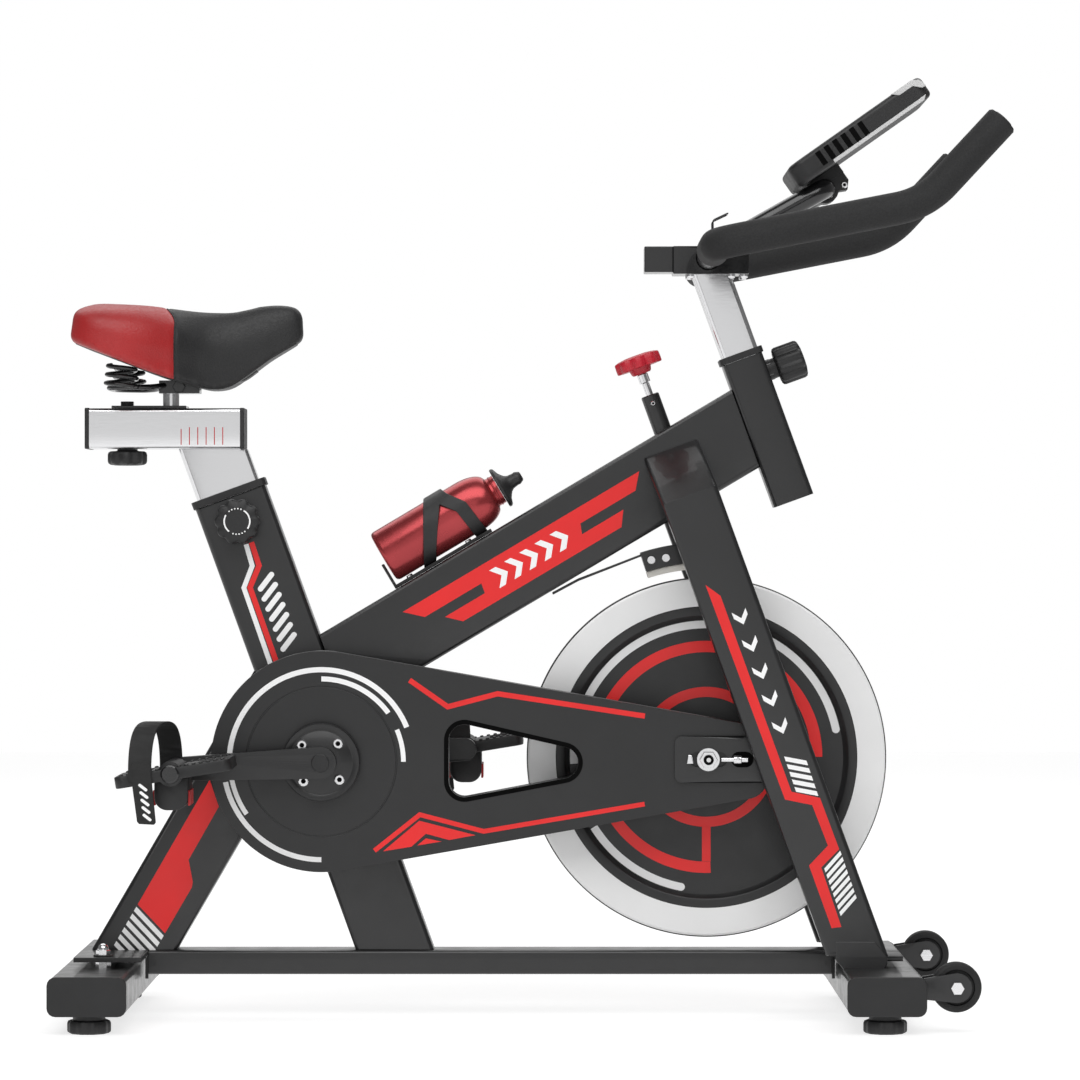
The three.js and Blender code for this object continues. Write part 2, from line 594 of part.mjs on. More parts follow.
// Platform with two openings round a central barrel and a counterweight below.
function pedal(s) {
  const end = pedalCentre(s);
  const { inner, outer, length, thick, tilt, spindleR } = PEDAL;
  const y = s * (inner + outer) / 2;
  const line = leaning(end.x, end.z, Math.PI / 2 - tilt);
  const width = outer - inner;
  const plate = boxBar(line, thick, width, 4, 3 - length / 2, 3 + length / 2, y);
  const opening = (along) => boxBar(line, thick + 10, width - 26, 2, along - 14, along + 14, y);
  const low = s < 0 ? -outer + 3 : inner + 3;
  const high = s < 0 ? -inner - 3 : outer - 3;
  const barrel = rod(end.clone().setY(low), end.clone().setY(high), 13, 14);
  const weight = new THREE.Shape();
  weight.moveTo(end.x + 18, end.z - 4);
  weight.lineTo(end.x - 18, end.z - 4);
  weight.absarc(end.x - 8, end.z - 32, 9, Math.PI, 1.5 * Math.PI);
  weight.absarc(end.x + 8, end.z - 32, 9, -Math.PI / 2, 0);
  weight.closePath();
  const hanging = side(weight, y - 30, y + 30, 4);
  const boreFrom = end.clone().setY(s * (inner - 5));
  const boreTo = end.clone().setY(s * (outer - 7));
  const bore = rod(boreFrom, boreTo, spindleR + GAP, 14);
  return join(cut(plate, opening(-36), opening(36)), barrel, hanging).subtract(bore);
}

// Toe strap: an arch over the shoe from the pedal's inner to its outer edge, and a hanging tail.
function strap(s) {
  const end = pedalCentre(s);
  const reach = (PEDAL.outer - PEDAL.inner) / 2;
  const y = s * (PEDAL.inner + PEDAL.outer) / 2;
  const [width, thick, rise] = [20, 2.5, 64];
  const bandX = end.x - 31;
  const skew = 24 / (2 * reach);
  const arch = (radius, top) => {
    const shape = new THREE.Shape();
    shape.moveTo(radius, -8);
    shape.bezierCurveTo(radius + 2, top * 0.75, radius * 0.7, top, 0, top);
    shape.bezierCurveTo(-radius * 0.7, top, -radius - 2, top * 0.75, -radius, -8);
    shape.closePath();
    return prism(shape, at(bandX, y, end.z), Y, Z, -width / 2, width / 2, 8);
  };
  const [near, far] = [y - reach - GAP, y + reach + GAP];
  const inside = arch(reach + GAP, rise).add(block(bandX - width, bandX + width, near, far, end.z - 60, end.z));
  const loop = arch(reach + GAP + thick, rise + thick).subtract(inside);
  const outerY = y + s * (reach + GAP + thick / 2);
  const tail = new THREE.Shape();
  tail.moveTo(bandX - width / 2, end.z + 12);
  tail.lineTo(bandX - width / 2 - 3, end.z - 40);
  tail.absarc(bandX - 3, end.z - 50, 9, Math.PI, 2 * Math.PI);
  tail.lineTo(bandX + width / 2, end.z + 12);
  tail.closePath();
  const whole = loop.add(side(tail, outerY - thick / 2, outerY + thick / 2, 4));
  const shear = new THREE.Matrix4().makeShear(0, 0, -s * skew, 0, 0, 0);
  shear.setPosition(skew * Math.abs(outerY), 0, 0);
  const spindleRoom = rod(end.clone().setY(s * 80), end.clone().setY(s * 200), PEDAL.spindleR + 1, 12);
  return solid(geometryOf(whole).applyMatrix4(shear)).subtract(spindleRoom);
}

for (const [name, s] of SIDES) {
  add(`crank_arm_${name}`, crankArm(s), BLACK_PLASTIC);
  add(`pedal_${name}`, pedal(s), BLACK_PLASTIC);
  add(`pedal_strap_${name}`, strap(s), RUBBER);
}

// ---------------------------------------------------------------- seat post, slider and saddle
function seatPost() {
  const { width, depth, wall, insert, pinHoles, pinPitch } = SEAT_POST;
  const tube = boxTube(seatLine, width, depth, 5, wall, -insert, 120);
  const holes = [];
  for (let i = 0; i < pinHoles; i += 1) {
    const along = pinAlong - i * pinPitch;
    holes.push(rod(seatLine.point(along, 0, -depth), seatLine.point(along), PIN.hole, 8));
  }
  return trim(cut(tube, ...holes), at(0, 0, SLIDER.z0 - GAP), Z.clone().negate());
}
add('seat_post', seatPost(), CHROME);

// Closed at both ends, with slots above and below for the carriage bolt.
function sliderTube() {
  const { x0, x1, z0, z1, half, wall, slotX0, slotX1 } = SLIDER;
  const middle = at(0, 0, (z0 + z1) / 2);
  const outer = prism(roundedRect(2 * half, z1 - z0, 4), middle, Y, Z, x0, x1);
  const hollow = block(x0 + 3.5, x1 - 3.5, -half + wall, half - wall, z0 + wall, z1 - wall);
  const slot = block(slotX0, slotX1, -5.6, 5.6, z0 - 1, z1 + 1);
  return cut(outer, hollow, slot);
}
add('slider_tube', sliderTube(), CHROME);

// Top plate with the bolt that reaches the knob below, the stem and the saddle clamp.
function carriage() {
  const { x0, x1, half, thick, stemX, stemR, boltX } = CARRIAGE;
  const base = SLIDER.z1 + GAP;
  const plate = block(x0, x1, -half, half, base, base + thick);
  const stem = rod(at(stemX, 0, base), at(stemX, 0, 678), stemR, 20);
  const clamp = block(-413, -369, -15, 15, 675, 689);
  const bolt = rod(at(boltX, 0, 604), at(boltX, 0, base + 1), 5, 12);
  const nut = rod(at(boltX, 0, base + 1), at(boltX, 0, base + thick + 5), 8, 6);
  return join(plate, stem, clamp, bolt, nut);
}
add('saddle_carriage', carriage(), BLACK_PLASTIC);

// A round-lobed grip with a narrower neck and a blind bore for its bolt or pin.
function lobedKnob(origin, axis, { r, thick, neckR, neck, boreR, lobes, depth }) {
  const u = Math.abs(axis.y) > 0.5 ? X : Y;
  const v = axis.clone().cross(u).normalize();
  const outline = new THREE.Shape();
  const turns = 4 * lobes;
  for (let i = 0; i < turns; i += 1) {
    const angle = (2 * Math.PI * i) / turns;
    const reach = r - 1.5 * (i % 4 < 2 ? 0 : 1);
    outline[i ? 'lineTo' : 'moveTo'](reach * Math.cos(angle), reach * Math.sin(angle));
  }
  outline.closePath();
  const head = prism(outline, origin, u.clone(), v, neck, neck + thick);
  const on = (along) => origin.clone().addScaledVector(axis, along);
  const collarPart = rod(on(0), on(neck + 1), neckR, 20);
  const bore = rod(on(-1), on(depth), boreR, 12);
  return join(head, collarPart).subtract(bore);
}
const sliderKnobShape = { r: 21.4, thick: 15, neckR: 11, neck: 2, boreR: 5.3, lobes: 8, depth: 12 };
const sliderKnobAt = at(CARRIAGE.boltX, 0, SLIDER.z0 - GAP);
const sliderKnob = lobedKnob(sliderKnobAt, Z.clone().negate(), sliderKnobShape);
add('slider_knob', sliderKnob, BLACK_PLASTIC);

// One slice of the saddle: where it is, its half width, its underside and its top.
const SADDLE = [
  [-506.4, 56, 735, 757], [-500, 80, 729, 766], [-484, 96, 722, 771], [-455, 100, 711, 771.5],
  [-424, 90, 699, 769.5], [-397, 72, 690, 766.5], [-375, 55, 684, 764], [-355, 43, 680, 763],
  [-335, 35, 683, 764], [-315, 30, 696, 767], [-293, 27, 712, 770.5], [-275, 24, 723, 771],
  [-262, 19, 731, 767], [-254.6, 10, 738, 754],
];

// Skins a row of slices; each is flat below and rounded over the top.
function lofted(slices, arcSteps = 9) {
  const rings = slices.map(([x, half, low, high]) => {
    const points = [at(x, -half * 0.92, low)];
    for (let i = 0; i <= arcSteps; i += 1) {
      const angle = Math.PI * (1 - i / arcSteps);
      const c = Math.cos(angle);
      const sn = Math.sin(angle);
      const y = half * Math.sign(c) * Math.abs(c) ** 0.6;
      points.push(at(x, y, low + 4 + (high - low - 4) * Math.abs(sn) ** 0.6));
    }
    points.push(at(x, half * 0.92, low));
    return points;
  });
  const count = rings[0].length;
  const vertices = rings.flat();
  const index = [];
  for (let i = 0; i + 1 < rings.length; i += 1) {
    for (let j = 0; j < count; j += 1) {
      const [a, b] = [i * count + j, i * count + ((j + 1) % count)];
      index.push(a, b, a + count, b, b + count, a + count);
    }
  }
  for (let j = 1; j + 1 < count; j += 1) {
    const last = (rings.length - 1) * count;
    index.push(0, j + 1, j, last, last + j, last + j + 1);
  }
  const geometry = new THREE.BufferGeometry().setFromPoints(vertices);
  geometry.setIndex(index);
  return solid(geometry);
}
const clampRoom = block(-415, -367, -17, 17, 600, 692);
add('saddle', lofted(SADDLE).subtract(clampRoom), SADDLE_SKIN);

// The pan under the padding carries the springs at the back.
const PAN_THICK = 4;
const panSlices = SADDLE.slice(1, -1)
  .map(([x, half, low]) => [x, half * 0.86, low - GAP - PAN_THICK, low - GAP]);
function panBody() {
  const outline = panSlices.map(([x, , , high]) => [x, high]);
  const under = [...panSlices].reverse().map(([x, , low]) => [x, low]);
  const plate = side([...outline, ...under], -110, 110);
  const plan = panSlices.map(([x, half]) => [x, -half]);
  const back = [...panSlices].reverse().map(([x, half]) => [x, half]);
  return plate.intersect(prism([...plan, ...back], at(0, 0, 0), X, Y, 500, 900)).subtract(clampRoom);
}

// Two coil springs on a bent wire frame that runs back from the clamp.
function saddleSprings() {
  const wire = circle(2.4);
  const coils = SIDES.map(([, s]) => {
    const points = [];
    const TURNS = 2;
    const STEPS = 7;
    for (let i = 0; i <= TURNS * STEPS; i += 1) {
      const angle = (2 * Math.PI * i) / STEPS;
      const rise = (20 * i) / (TURNS * STEPS);
      points.push(at(-450 + 12 * Math.cos(angle), s * 46 + s * 12 * Math.sin(angle), 681 + rise));
    }
    return swept(wire, points, 4);
  });
  const half = (s) => [
    at(-417, s * 10, 682), at(-424, s * 46, 681), at(-438, s * 46, 681), at(-452, s * 34, 680),
  ];
  const frameRoute = bent([...half(-1), ...half(1).reverse()], 10, 2);
  return join(swept(circle(2.8), frameRoute, 4), ...coils);
}
add('saddle_pan', panBody().add(saddleSprings()), BLACK_PLASTIC);

// Pull pins: knob, neck and a pin that reaches into the post.
function pullPin(origin, axis, reach, size) {
  const knob = lobedKnob(origin, axis, { ...size, boreR: 1, depth: -0.5 });
  const pinFrom = origin.clone().addScaledVector(axis, -reach);
  const pinTo = origin.clone().addScaledVector(axis, 2);
  return knob.add(rod(pinFrom, pinTo, PIN.r, 12));
}
const seatPinShape = { r: 24.8, thick: 16, neckR: 12, neck: 12, lobes: 10 };
const seatPinAt = seatLine.point(pinAlong, 0, -SEAT_TUBE.depth / 2 - GAP);
add('seat_pin_knob', pullPin(seatPinAt, Y.clone().negate(), 4.3, seatPinShape), BLACK_PLASTIC);
const headPinShape = { r: 21, thick: 30, neckR: 11, neck: 10, lobes: 10 };
const headPinAt = headLine.point(headPinAlong, HEAD_TUBE.width / 2 + GAP);
add('handlebar_pin_knob', pullPin(headPinAt, headLine.across, 2.3, headPinShape), BLACK_PLASTIC);

// ---------------------------------------------------------------- handlebar
function barPost() {
  const { width, depth, wall, insert } = BAR_POST;
  const tube = boxTube(headLine, width, depth, 5, wall, -insert, 130);
  const holes = [];
  for (let i = 0; i < 4; i += 1) {
    const along = headPinAlong - i * SEAT_POST.pinPitch;
    holes.push(rod(headLine.point(along), headLine.point(along, 40), PIN.hole, 8));
  }
  return trim(cut(tube, ...holes), at(0, 0, STEM.z0 - GAP), Z.clone().negate());
}
add('handlebar_post', barPost(), CHROME);

const crossbarAt = (y) => at(BAR.rearX, y, BAR.rearZ);
function stemBracket() {
  const { x0, x1, z0, z1, half, rearX, rearHalf } = STEM;
  const body = block(x0, x1, -half, half, z0, z1);
  const rear = block(rearX, x0 + 1, -rearHalf, rearHalf, z0 + 2, z1);
  const seat = rod(crossbarAt(-half - 1), crossbarAt(half + 1), GRIP.tubeR + GAP, 16);
  return body.add(rear).subtract(seat);
}
add('stem_bracket', stemBracket(), BLACK_PLASTIC);

// The bar runs from tip to tip through the bracket; each side is a mirrored set of corners.
function barCorners(s) {
  return [at(BAR.tipX, s * GRIP.y, BAR.tipZ), at(BAR.bendX, s * GRIP.y, BAR.bendZ), crossbarAt(s * GRIP.y)];
}
const wholeBar = bent([...barCorners(-1), ...barCorners(1).reverse()], 48, 3);

const GRIP_END = 150;
function grip(s) {
  const route = bent([...barCorners(s), crossbarAt(s * GRIP_END)], 48, 3);
  const tip = route[0].clone().sub(route[1]).normalize();
  route[0].addScaledVector(tip, -0.5);
  const sleeve = circle(GRIP.r);
  const hole = new THREE.Path();
  hole.absarc(0, 0, GRIP.tubeR + GAP, 0, 2 * Math.PI, true);
  sleeve.holes.push(hole);
  return swept(sleeve, route, 12);
}
for (const [name, s] of SIDES) add(`grip_${name}`, grip(s), FOAM);

// A hoop ahead of the post that carries the console.
const LOOP = { y: 45, r: 11, fromX: 190, fromZ: 829, frontX: 309, frontZ: 896 };
function centreLoop() {
  const { y, r, fromX, fromZ, frontX, frontZ } = LOOP;
  const half = (s) => [at(fromX, s * y, fromZ), at(frontX, s * y, frontZ)];
  return swept(circle(r), bent([...half(-1), ...half(1).reverse()], 26, 3), 10);
}
add('handlebar', swept(circle(GRIP.tubeR), wholeBar, 12).add(centreLoop()), FRAME_PAINT);

// ---------------------------------------------------------------- console on a tilting clamp
const consoleSlope = Math.atan2(CONSOLE.z1 - CONSOLE.z0, CONSOLE.x1 - CONSOLE.x0);
const loopFront = at(LOOP.frontX, 0, LOOP.frontZ);
const consoleLine = leaning(CONSOLE.x0, CONSOLE.z0, Math.PI / 2 - consoleSlope);
const consoleUp = consoleLine.across.clone().negate();

// A sleeve on the hoop with a lug and a pad that fills the space up to the console.
function consoleClamp() {
  const half = 14;
  const drop = consoleLine.origin.clone().sub(loopFront).dot(consoleUp) - CONSOLE.thick / 2 - GAP;
  const edge = (y) => loopFront.clone().setY(y);
  const sleeve = rod(edge(-half), edge(half), LOOP.r + 4, 24);
  const plate = (outline, y0, y1) => prism(outline, loopFront, consoleLine.dir, consoleUp, y0, y1);
  const pad = plate([[-14, 4], [27, 4], [27, drop], [-14, drop]], -half - 4, half + 4);
  const lug = plate([[12, drop - 1], [27, drop - 1], [27, -6], [20, -14], [12, -10]], -half, half);
  const room = rod(edge(-60), edge(60), LOOP.r + GAP, 24);
  return join(sleeve, pad, lug).subtract(room);
}
add('console_clamp', consoleClamp(), BLACK_PLASTIC);

function consoleBody() {
  const { x0, x1, z0, z1, thick, half } = CONSOLE;
  const length = Math.hypot(x1 - x0, z1 - z0);
  const outline = roundedRect(length, thick, 10, length / 2, 0);
  return prism(outline, consoleLine.origin, consoleLine.dir, consoleUp, -half, half, 4);
}
add('console', consoleBody(), BLACK_PLASTIC);

// ---------------------------------------------------------------- brake
const TUBE_END = -139;
const ROD_END = -167.5;
const brakeTube = ring(brakeLine.point(TUBE_END), brakeLine.point(0), BRAKE.tubeR, BRAKE.boreR, 20);
add('brake_tube', brakeTube, FRAME_PAINT);

function brakeKnob() {
  const { knobR, knobLift, rodR } = BRAKE;
  const lobes = 8;
  const outline = new THREE.Shape();
  for (let i = 0; i < 6 * lobes; i += 1) {
    const angle = (2 * Math.PI * i) / (6 * lobes);
    const r = knobR - 2.2 + 2.2 * Math.cos(lobes * angle);
    outline[i ? 'lineTo' : 'moveTo'](r * Math.cos(angle), r * Math.sin(angle));
  }
  outline.closePath();
  const base = brakeLine.point(knobLift - 7);
  const head = prism(outline, base, brakeLine.across.clone().negate(), Y.clone().negate(), 0, 13);
  const room = rod(brakeLine.point(10), brakeLine.point(knobLift + 3), rodR + GAP, 12);
  return head.subtract(room);
}
add('brake_knob', brakeKnob(), RED_KNOB);

function brakeRod() {
  const thin = rod(brakeLine.point(ROD_END), brakeLine.point(BRAKE.knobLift + 2), BRAKE.rodR, 16);
  const stop = rod(brakeLine.point(14), brakeLine.point(BRAKE.knobLift - 8), 6, 16);
  return thin.add(stop);
}
add('brake_rod', brakeRod(), CHROME);

// Pad and holder follow the rim; the leaf strip hangs them from the beam.
const PAD = { inner: FLYWHEEL.r + 9, thick: 7, holder: 22, from: 87.5 * DEG, to: 108 * DEG, half: 13 };
function rimSector(inner, outer, half) {
  const outline = new THREE.Shape();
  outline.absarc(AXLE.x, AXLE.z, outer, PAD.from, PAD.to);
  outline.absarc(AXLE.x, AXLE.z, inner, PAD.to, PAD.from, true);
  outline.closePath();
  return side(outline, -half, half, 6);
}
const padTop = PAD.inner + PAD.thick;
add('brake_pad', rimSector(PAD.inner, padTop, PAD.half), FELT);

function padHolder() {
  const holder = rimSector(padTop + GAP, padTop + PAD.holder, PAD.half + 3);
  const strip = side([[14, 456.5], [42, 471.5], [116, 500.5], [116, 503], [41, 474], [13, 459]], -11, 11);
  return holder.add(strip);
}
const beamUnder = beamLine.point(0, BEAM.height / 2 + GAP);
add('brake_arm', trim(padHolder(), beamUnder, beamLine.across), FRAME_PAINT);

// ---------------------------------------------------------------- bottle in its cage
const bottleLine = leaning(BOTTLE.x, BOTTLE.z, Math.PI / 2 - BEAM_SLOPE);
const bottleUp = bottleLine.across.clone().negate();
function bottle() {
  const { r, body, neckR, neck } = BOTTLE;
  const profile = [
    [0, 0], [r - 4, 0], [r, 4], [r, body - 30], [r - 3, body - 16],
    [r - 10, body - 4], [neckR, body], [neckR, body + neck], [0, body + neck],
  ];
  return turned(profile, bottleLine.origin, bottleLine.dir, 22);
}
add('bottle', bottle(), RED_METAL);

function bottleCap() {
  const foot = BOTTLE.body + BOTTLE.neck + GAP;
  const profile = [
    [0, foot], [23, foot], [23, foot + 3], [12, foot + 9],
    [7.5, foot + 14], [6, foot + 25], [4, foot + 27.5], [0, foot + 28],
  ];
  return turned(profile, bottleLine.origin, bottleLine.dir, 18);
}
add('bottle_cap', bottleCap(), BLACK_PLASTIC);

// Spine and end plate against the beam, and a band that rises to a peak over the bottle.
function bottleCage() {
  const inBottle = (outline, y0, y1) => prism(outline, bottleLine.origin, bottleLine.dir, bottleUp, y0, y1);
  const beamTop = bottleUp.dot(beamLine.point(0, -BEAM.height / 2).sub(bottleLine.origin)) + GAP;
  const spine = inBottle([[-6, beamTop], [116, beamTop], [116, -32.4], [-6, -32.4]], -10, 10);
  const end = inBottle([[-6, beamTop], [-3.5, beamTop], [-3.5, -6], [-6, -6]], -12, 12);
  const clear = BOTTLE.r + 0.7;
  const tube = ring(bottleLine.point(20), bottleLine.point(125), clear + 2.6, clear, 22);
  const peak = [
    [28, -40], [42, -40], [82, 18], [94, 2], [99, -40],
    [113, -40], [108, 6], [95, 24], [88, 40], [74, 40],
  ];
  const band = inBottle(peak, -60, 60);
  return join(spine, end, tube.intersect(band));
}
add('bottle_cage', bottleCage(), BLACK_PLASTIC);

export default bike;
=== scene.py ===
import json
import math

import bmesh
import bpy
from mathutils import Matrix, Vector


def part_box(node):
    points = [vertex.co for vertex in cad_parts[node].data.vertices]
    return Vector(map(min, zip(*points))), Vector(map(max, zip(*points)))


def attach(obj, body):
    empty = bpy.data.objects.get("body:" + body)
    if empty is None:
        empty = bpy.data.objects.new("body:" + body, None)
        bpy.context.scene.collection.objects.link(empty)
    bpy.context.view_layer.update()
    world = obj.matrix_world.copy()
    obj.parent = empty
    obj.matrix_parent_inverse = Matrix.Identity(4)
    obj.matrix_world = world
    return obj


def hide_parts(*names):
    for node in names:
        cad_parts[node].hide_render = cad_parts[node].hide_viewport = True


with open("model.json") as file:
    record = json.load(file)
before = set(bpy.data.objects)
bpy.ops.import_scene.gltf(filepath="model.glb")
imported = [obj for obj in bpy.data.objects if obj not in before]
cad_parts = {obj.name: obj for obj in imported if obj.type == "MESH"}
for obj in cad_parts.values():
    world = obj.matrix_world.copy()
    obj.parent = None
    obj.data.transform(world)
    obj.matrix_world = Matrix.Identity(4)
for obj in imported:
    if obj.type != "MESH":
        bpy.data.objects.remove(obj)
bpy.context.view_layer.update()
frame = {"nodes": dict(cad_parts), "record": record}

# ---------------------------------------------------------------- places, all from the frame
MM = 0.001
SIDES = (("right", -1), ("left", 1))


def centre(node):
    low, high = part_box(node)
    return (low + high) / 2


# The drawing datum of the CAD model: the flywheel's axle stands 180.5 mm ahead of it.
DATUM = centre("flywheel").x - 180.5 * MM


def at(x, y, z):
    """A place given in millimetres from the drawing datum."""
    return Vector((DATUM + x * MM, y * MM, z * MM))


FLY = centre("flywheel")
CRANK = centre("crank_axle")
LEAN = math.radians(20)


def slope(angle):
    """Along and square to a line that rises ahead by an angle."""
    c, s = math.cos(angle), math.sin(angle)
    return Vector((c, 0, s)), Vector((-s, 0, c))


LEAN_AHEAD, LEAN_UP = slope(LEAN)
BEAM_ALONG, BEAM_UP = slope(math.radians(30.75))
LEG_ALONG, LEG_UP = slope(math.radians(59.8))
X = Vector((1, 0, 0))
Y = Vector((0, 1, 0))
Z = Vector((0, 0, 1))
FLY_PLANE = (FLY, X, Z)
CRANK_PLANE = (CRANK, X, Z)
DATUM_PLANE = (at(0, 0, 0), X, Z)


# ---------------------------------------------------------------- materials
def shader(name, color, roughness, metallic=0.0, **sockets):
    """A principled material; returns it with its node tree, shader and object coordinates."""
    material = bpy.data.materials.new(name)
    material.use_nodes = True
    nodes = material.node_tree.nodes
    bsdf = nodes["Principled BSDF"]
    bsdf.inputs["Base Color"].default_value = (*color, 1)
    bsdf.inputs["Roughness"].default_value = roughness
    bsdf.inputs["Metallic"].default_value = metallic
    for socket, value in sockets.items():
        bsdf.inputs[socket.replace("_", " ")].default_value = value
    return material, nodes, material.node_tree.links, bsdf


def texture(nodes, links, kind, scale, stretch=(1, 1, 1), **settings):
    """A procedural texture on object coordinates, scaled per metre."""
    place = nodes.new("ShaderNodeTexCoord")
    mapping = nodes.new("ShaderNodeMapping")
    mapping.inputs["Scale"].default_value = [scale * s for s in stretch]
    tex = nodes.new(kind)
    for key, value in settings.items():
        tex.inputs[key].default_value = value
    tex.inputs["Scale"].default_value = 1.0
    links.new(place.outputs["Object"], mapping.inputs["Vector"])
    links.new(mapping.outputs["Vector"], tex.inputs["Vector"])
    return tex.outputs[0]


def spread(nodes, links, source, low, high):
    """Maps a texture's 0.3 to 0.7 onto two values."""
    ramp = nodes.new("ShaderNodeMapRange")
    ramp.inputs["From Min"].default_value = 0.3
    ramp.inputs["From Max"].default_value = 0.7
    ramp.inputs["To Min"].default_value = low
    ramp.inputs["To Max"].default_value = high
    links.new(source, ramp.inputs["Value"])
    return ramp.outputs["Result"]


def tint(nodes, links, source, dark, light):
    mix = nodes.new("ShaderNodeMix")
    mix.data_type = "RGBA"
    mix.inputs["A"].default_value = (*dark, 1)
    mix.inputs["B"].default_value = (*light, 1)
    links.new(spread(nodes, links, source, 0, 1), mix.inputs["Factor"])
    return mix.outputs["Result"]


def bump(nodes, links, source, height, normal=None):
    node = nodes.new("ShaderNodeBump")
    node.inputs["Strength"].default_value = 1.0
    node.inputs["Distance"].default_value = height
    links.new(source, node.inputs["Height"])
    if normal:
        links.new(normal, node.inputs["Normal"])
    return node.outputs["Normal"]


def textured(name, color, roughness, metallic=0.0, vary=0.15, grain=900, depth=0.00006, soft=0.06,
             **sockets):
    """Base material: cloudy colour and roughness changes over a fine surface grain."""
    material, nodes, links, bsdf = shader(name, color, roughness, metallic, **sockets)
    clouds = texture(nodes, links, "ShaderNodeTexNoise", 14, Detail=3.0)
    dark = tuple(c * (1 - vary) for c in color)
    light = tuple(min(1, c * (1 + vary)) for c in color)
    links.new(tint(nodes, links, clouds, dark, light), bsdf.inputs["Base Color"])
    smudge = texture(nodes, links, "ShaderNodeTexNoise", 45, Detail=5.0)
    lowest = max(0.02, roughness - soft)
    links.new(spread(nodes, links, smudge, lowest, roughness + soft), bsdf.inputs["Roughness"])
    fine = texture(nodes, links, "ShaderNodeTexNoise", grain, Detail=2.0)
    links.new(bump(nodes, links, fine, depth), bsdf.inputs["Normal"])
    return material


def metal(name, color, roughness, stretch, grain=60, depth=0.00001):
    """Drawn or turned metal: fine lines along one direction."""
    material, nodes, links, bsdf = shader(name, color, roughness, 1.0)
    lines = texture(nodes, links, "ShaderNodeTexNoise", grain, stretch, Detail=4.0)
    links.new(spread(nodes, links, lines, roughness * 0.75, roughness * 1.35), bsdf.inputs["Roughness"])
    links.new(bump(nodes, links, lines, depth), bsdf.inputs["Normal"])
    return material


def grained(name, color, roughness, cell=520, depth=0.00018, **sockets):
    """Vinyl or leather: rounded cells with finer wrinkles between them."""
    material, nodes, links, bsdf = shader(name, color, roughness, **sockets)
    clouds = texture(nodes, links, "ShaderNodeTexNoise", 11, Detail=4.0)
    dark = tuple(c * 0.86 for c in color)
    light = tuple(min(1, c * 1.12) for c in color)
    links.new(tint(nodes, links, clouds, dark, light), bsdf.inputs["Base Color"])
    cells = texture(nodes, links, "ShaderNodeTexVoronoi", cell)
    wrinkles = texture(nodes, links, "ShaderNodeTexNoise", cell * 0.7, Detail=4.0)
    first = bump(nodes, links, cells, depth)
    links.new(bump(nodes, links, wrinkles, depth * 0.6, first), bsdf.inputs["Normal"])
    links.new(spread(nodes, links, wrinkles, roughness - 0.07, roughness + 0.07), bsdf.inputs["Roughness"])
    return material


PAINT = textured("frame_paint", (0.012, 0.012, 0.0125), 0.34, vary=0.08, grain=1400, Coat_Weight=0.2)
GLOSS_PAINT = textured("gloss_black", (0.006, 0.006, 0.0065), 0.2, vary=0.1, Coat_Weight=0.4)
PLASTIC = textured("black_plastic", (0.01, 0.01, 0.0105), 0.5, grain=1500, depth=0.0001)
COVER_PLASTIC = textured("cover_plastic", (0.012, 0.012, 0.0125), 0.36, vary=0.08, grain=1200,
                         depth=0.00005)
CHROME = metal("chrome", (0.74, 0.74, 0.75), 0.17, (1, 1, 14))
ZINC = metal("zinc", (0.72, 0.72, 0.72), 0.3, (1, 1, 1), grain=220, depth=0.00002)
RIM = textured("rim_paint", (0.78, 0.78, 0.78), 0.4, metallic=0.1, vary=0.03, depth=0.00001)
CRANK_PAINT = textured("crank_paint", (0.01, 0.01, 0.0105), 0.4, vary=0.1, grain=1100, Coat_Weight=0.1)
WHEEL_PAINT = textured("wheel_paint", (0.014, 0.014, 0.0145), 0.4, vary=0.12, grain=800, depth=0.00009)
# painted shade: a near-black, barely reflecting finish laid on the fork's slots, the key recesses, the axle's
# threaded holes, the cover window's edge and the console's grooves
SHADOW = textured("dark_recess", (0.002, 0.002, 0.002), 0.9, vary=0.1, Specular_IOR_Level=0.08)
RUBBER = textured("rubber", (0.009, 0.009, 0.009), 0.72, grain=700, depth=0.0001)
FOAM = grained("grip_foam", (0.011, 0.011, 0.0115), 0.78, cell=900, depth=0.00016)
FELT = textured("brake_felt", (0.62, 0.6, 0.56), 0.95, vary=0.2, grain=1200, depth=0.0004)
KNOB_RED = textured("knob_red", (0.44, 0.008, 0.022), 0.42, grain=900)
BOTTLE_RED = textured("bottle_red", (0.36, 0.045, 0.05), 0.26, metallic=0.7, vary=0.1, depth=0.00002)
SKIN_BLACK = grained("saddle_black", (0.01, 0.01, 0.0105), 0.55)
SKIN_RED = grained("saddle_red", (0.36, 0.014, 0.015), 0.45)
RED_VINYL = textured("red_vinyl", (0.74, 0.011, 0.011), 0.38, vary=0.06, depth=0.00002)
DULL_RED_VINYL = textured("dull_red_vinyl", (0.46, 0.012, 0.013), 0.4, vary=0.1, depth=0.00002)
WHITE_VINYL = textured("white_vinyl", (0.88, 0.88, 0.88), 0.38, vary=0.03, depth=0.00002)
SILVER_VINYL = textured("silver_vinyl", (0.74, 0.74, 0.74), 0.34, metallic=0.1, vary=0.06, depth=0.00002)
SCREEN = textured("screen", (0.05, 0.065, 0.06), 0.12, vary=0.1, depth=0.00001)
GREY_PLASTIC = textured("grey_plastic", (0.34, 0.34, 0.34), 0.45, grain=1500)
LIGHT_PLASTIC = textured("light_plastic", (0.56, 0.56, 0.56), 0.4, vary=0.06, grain=1500)

# record slots for some materials: these mappings are built here but not kept
dict.fromkeys((GLOSS_PAINT, PLASTIC, SHADOW, SCREEN, GREY_PLASTIC, LIGHT_PLASTIC),
                           "black_plastic")
dict.fromkeys((KNOB_RED, RED_VINYL, DULL_RED_VINYL), "red_knob")


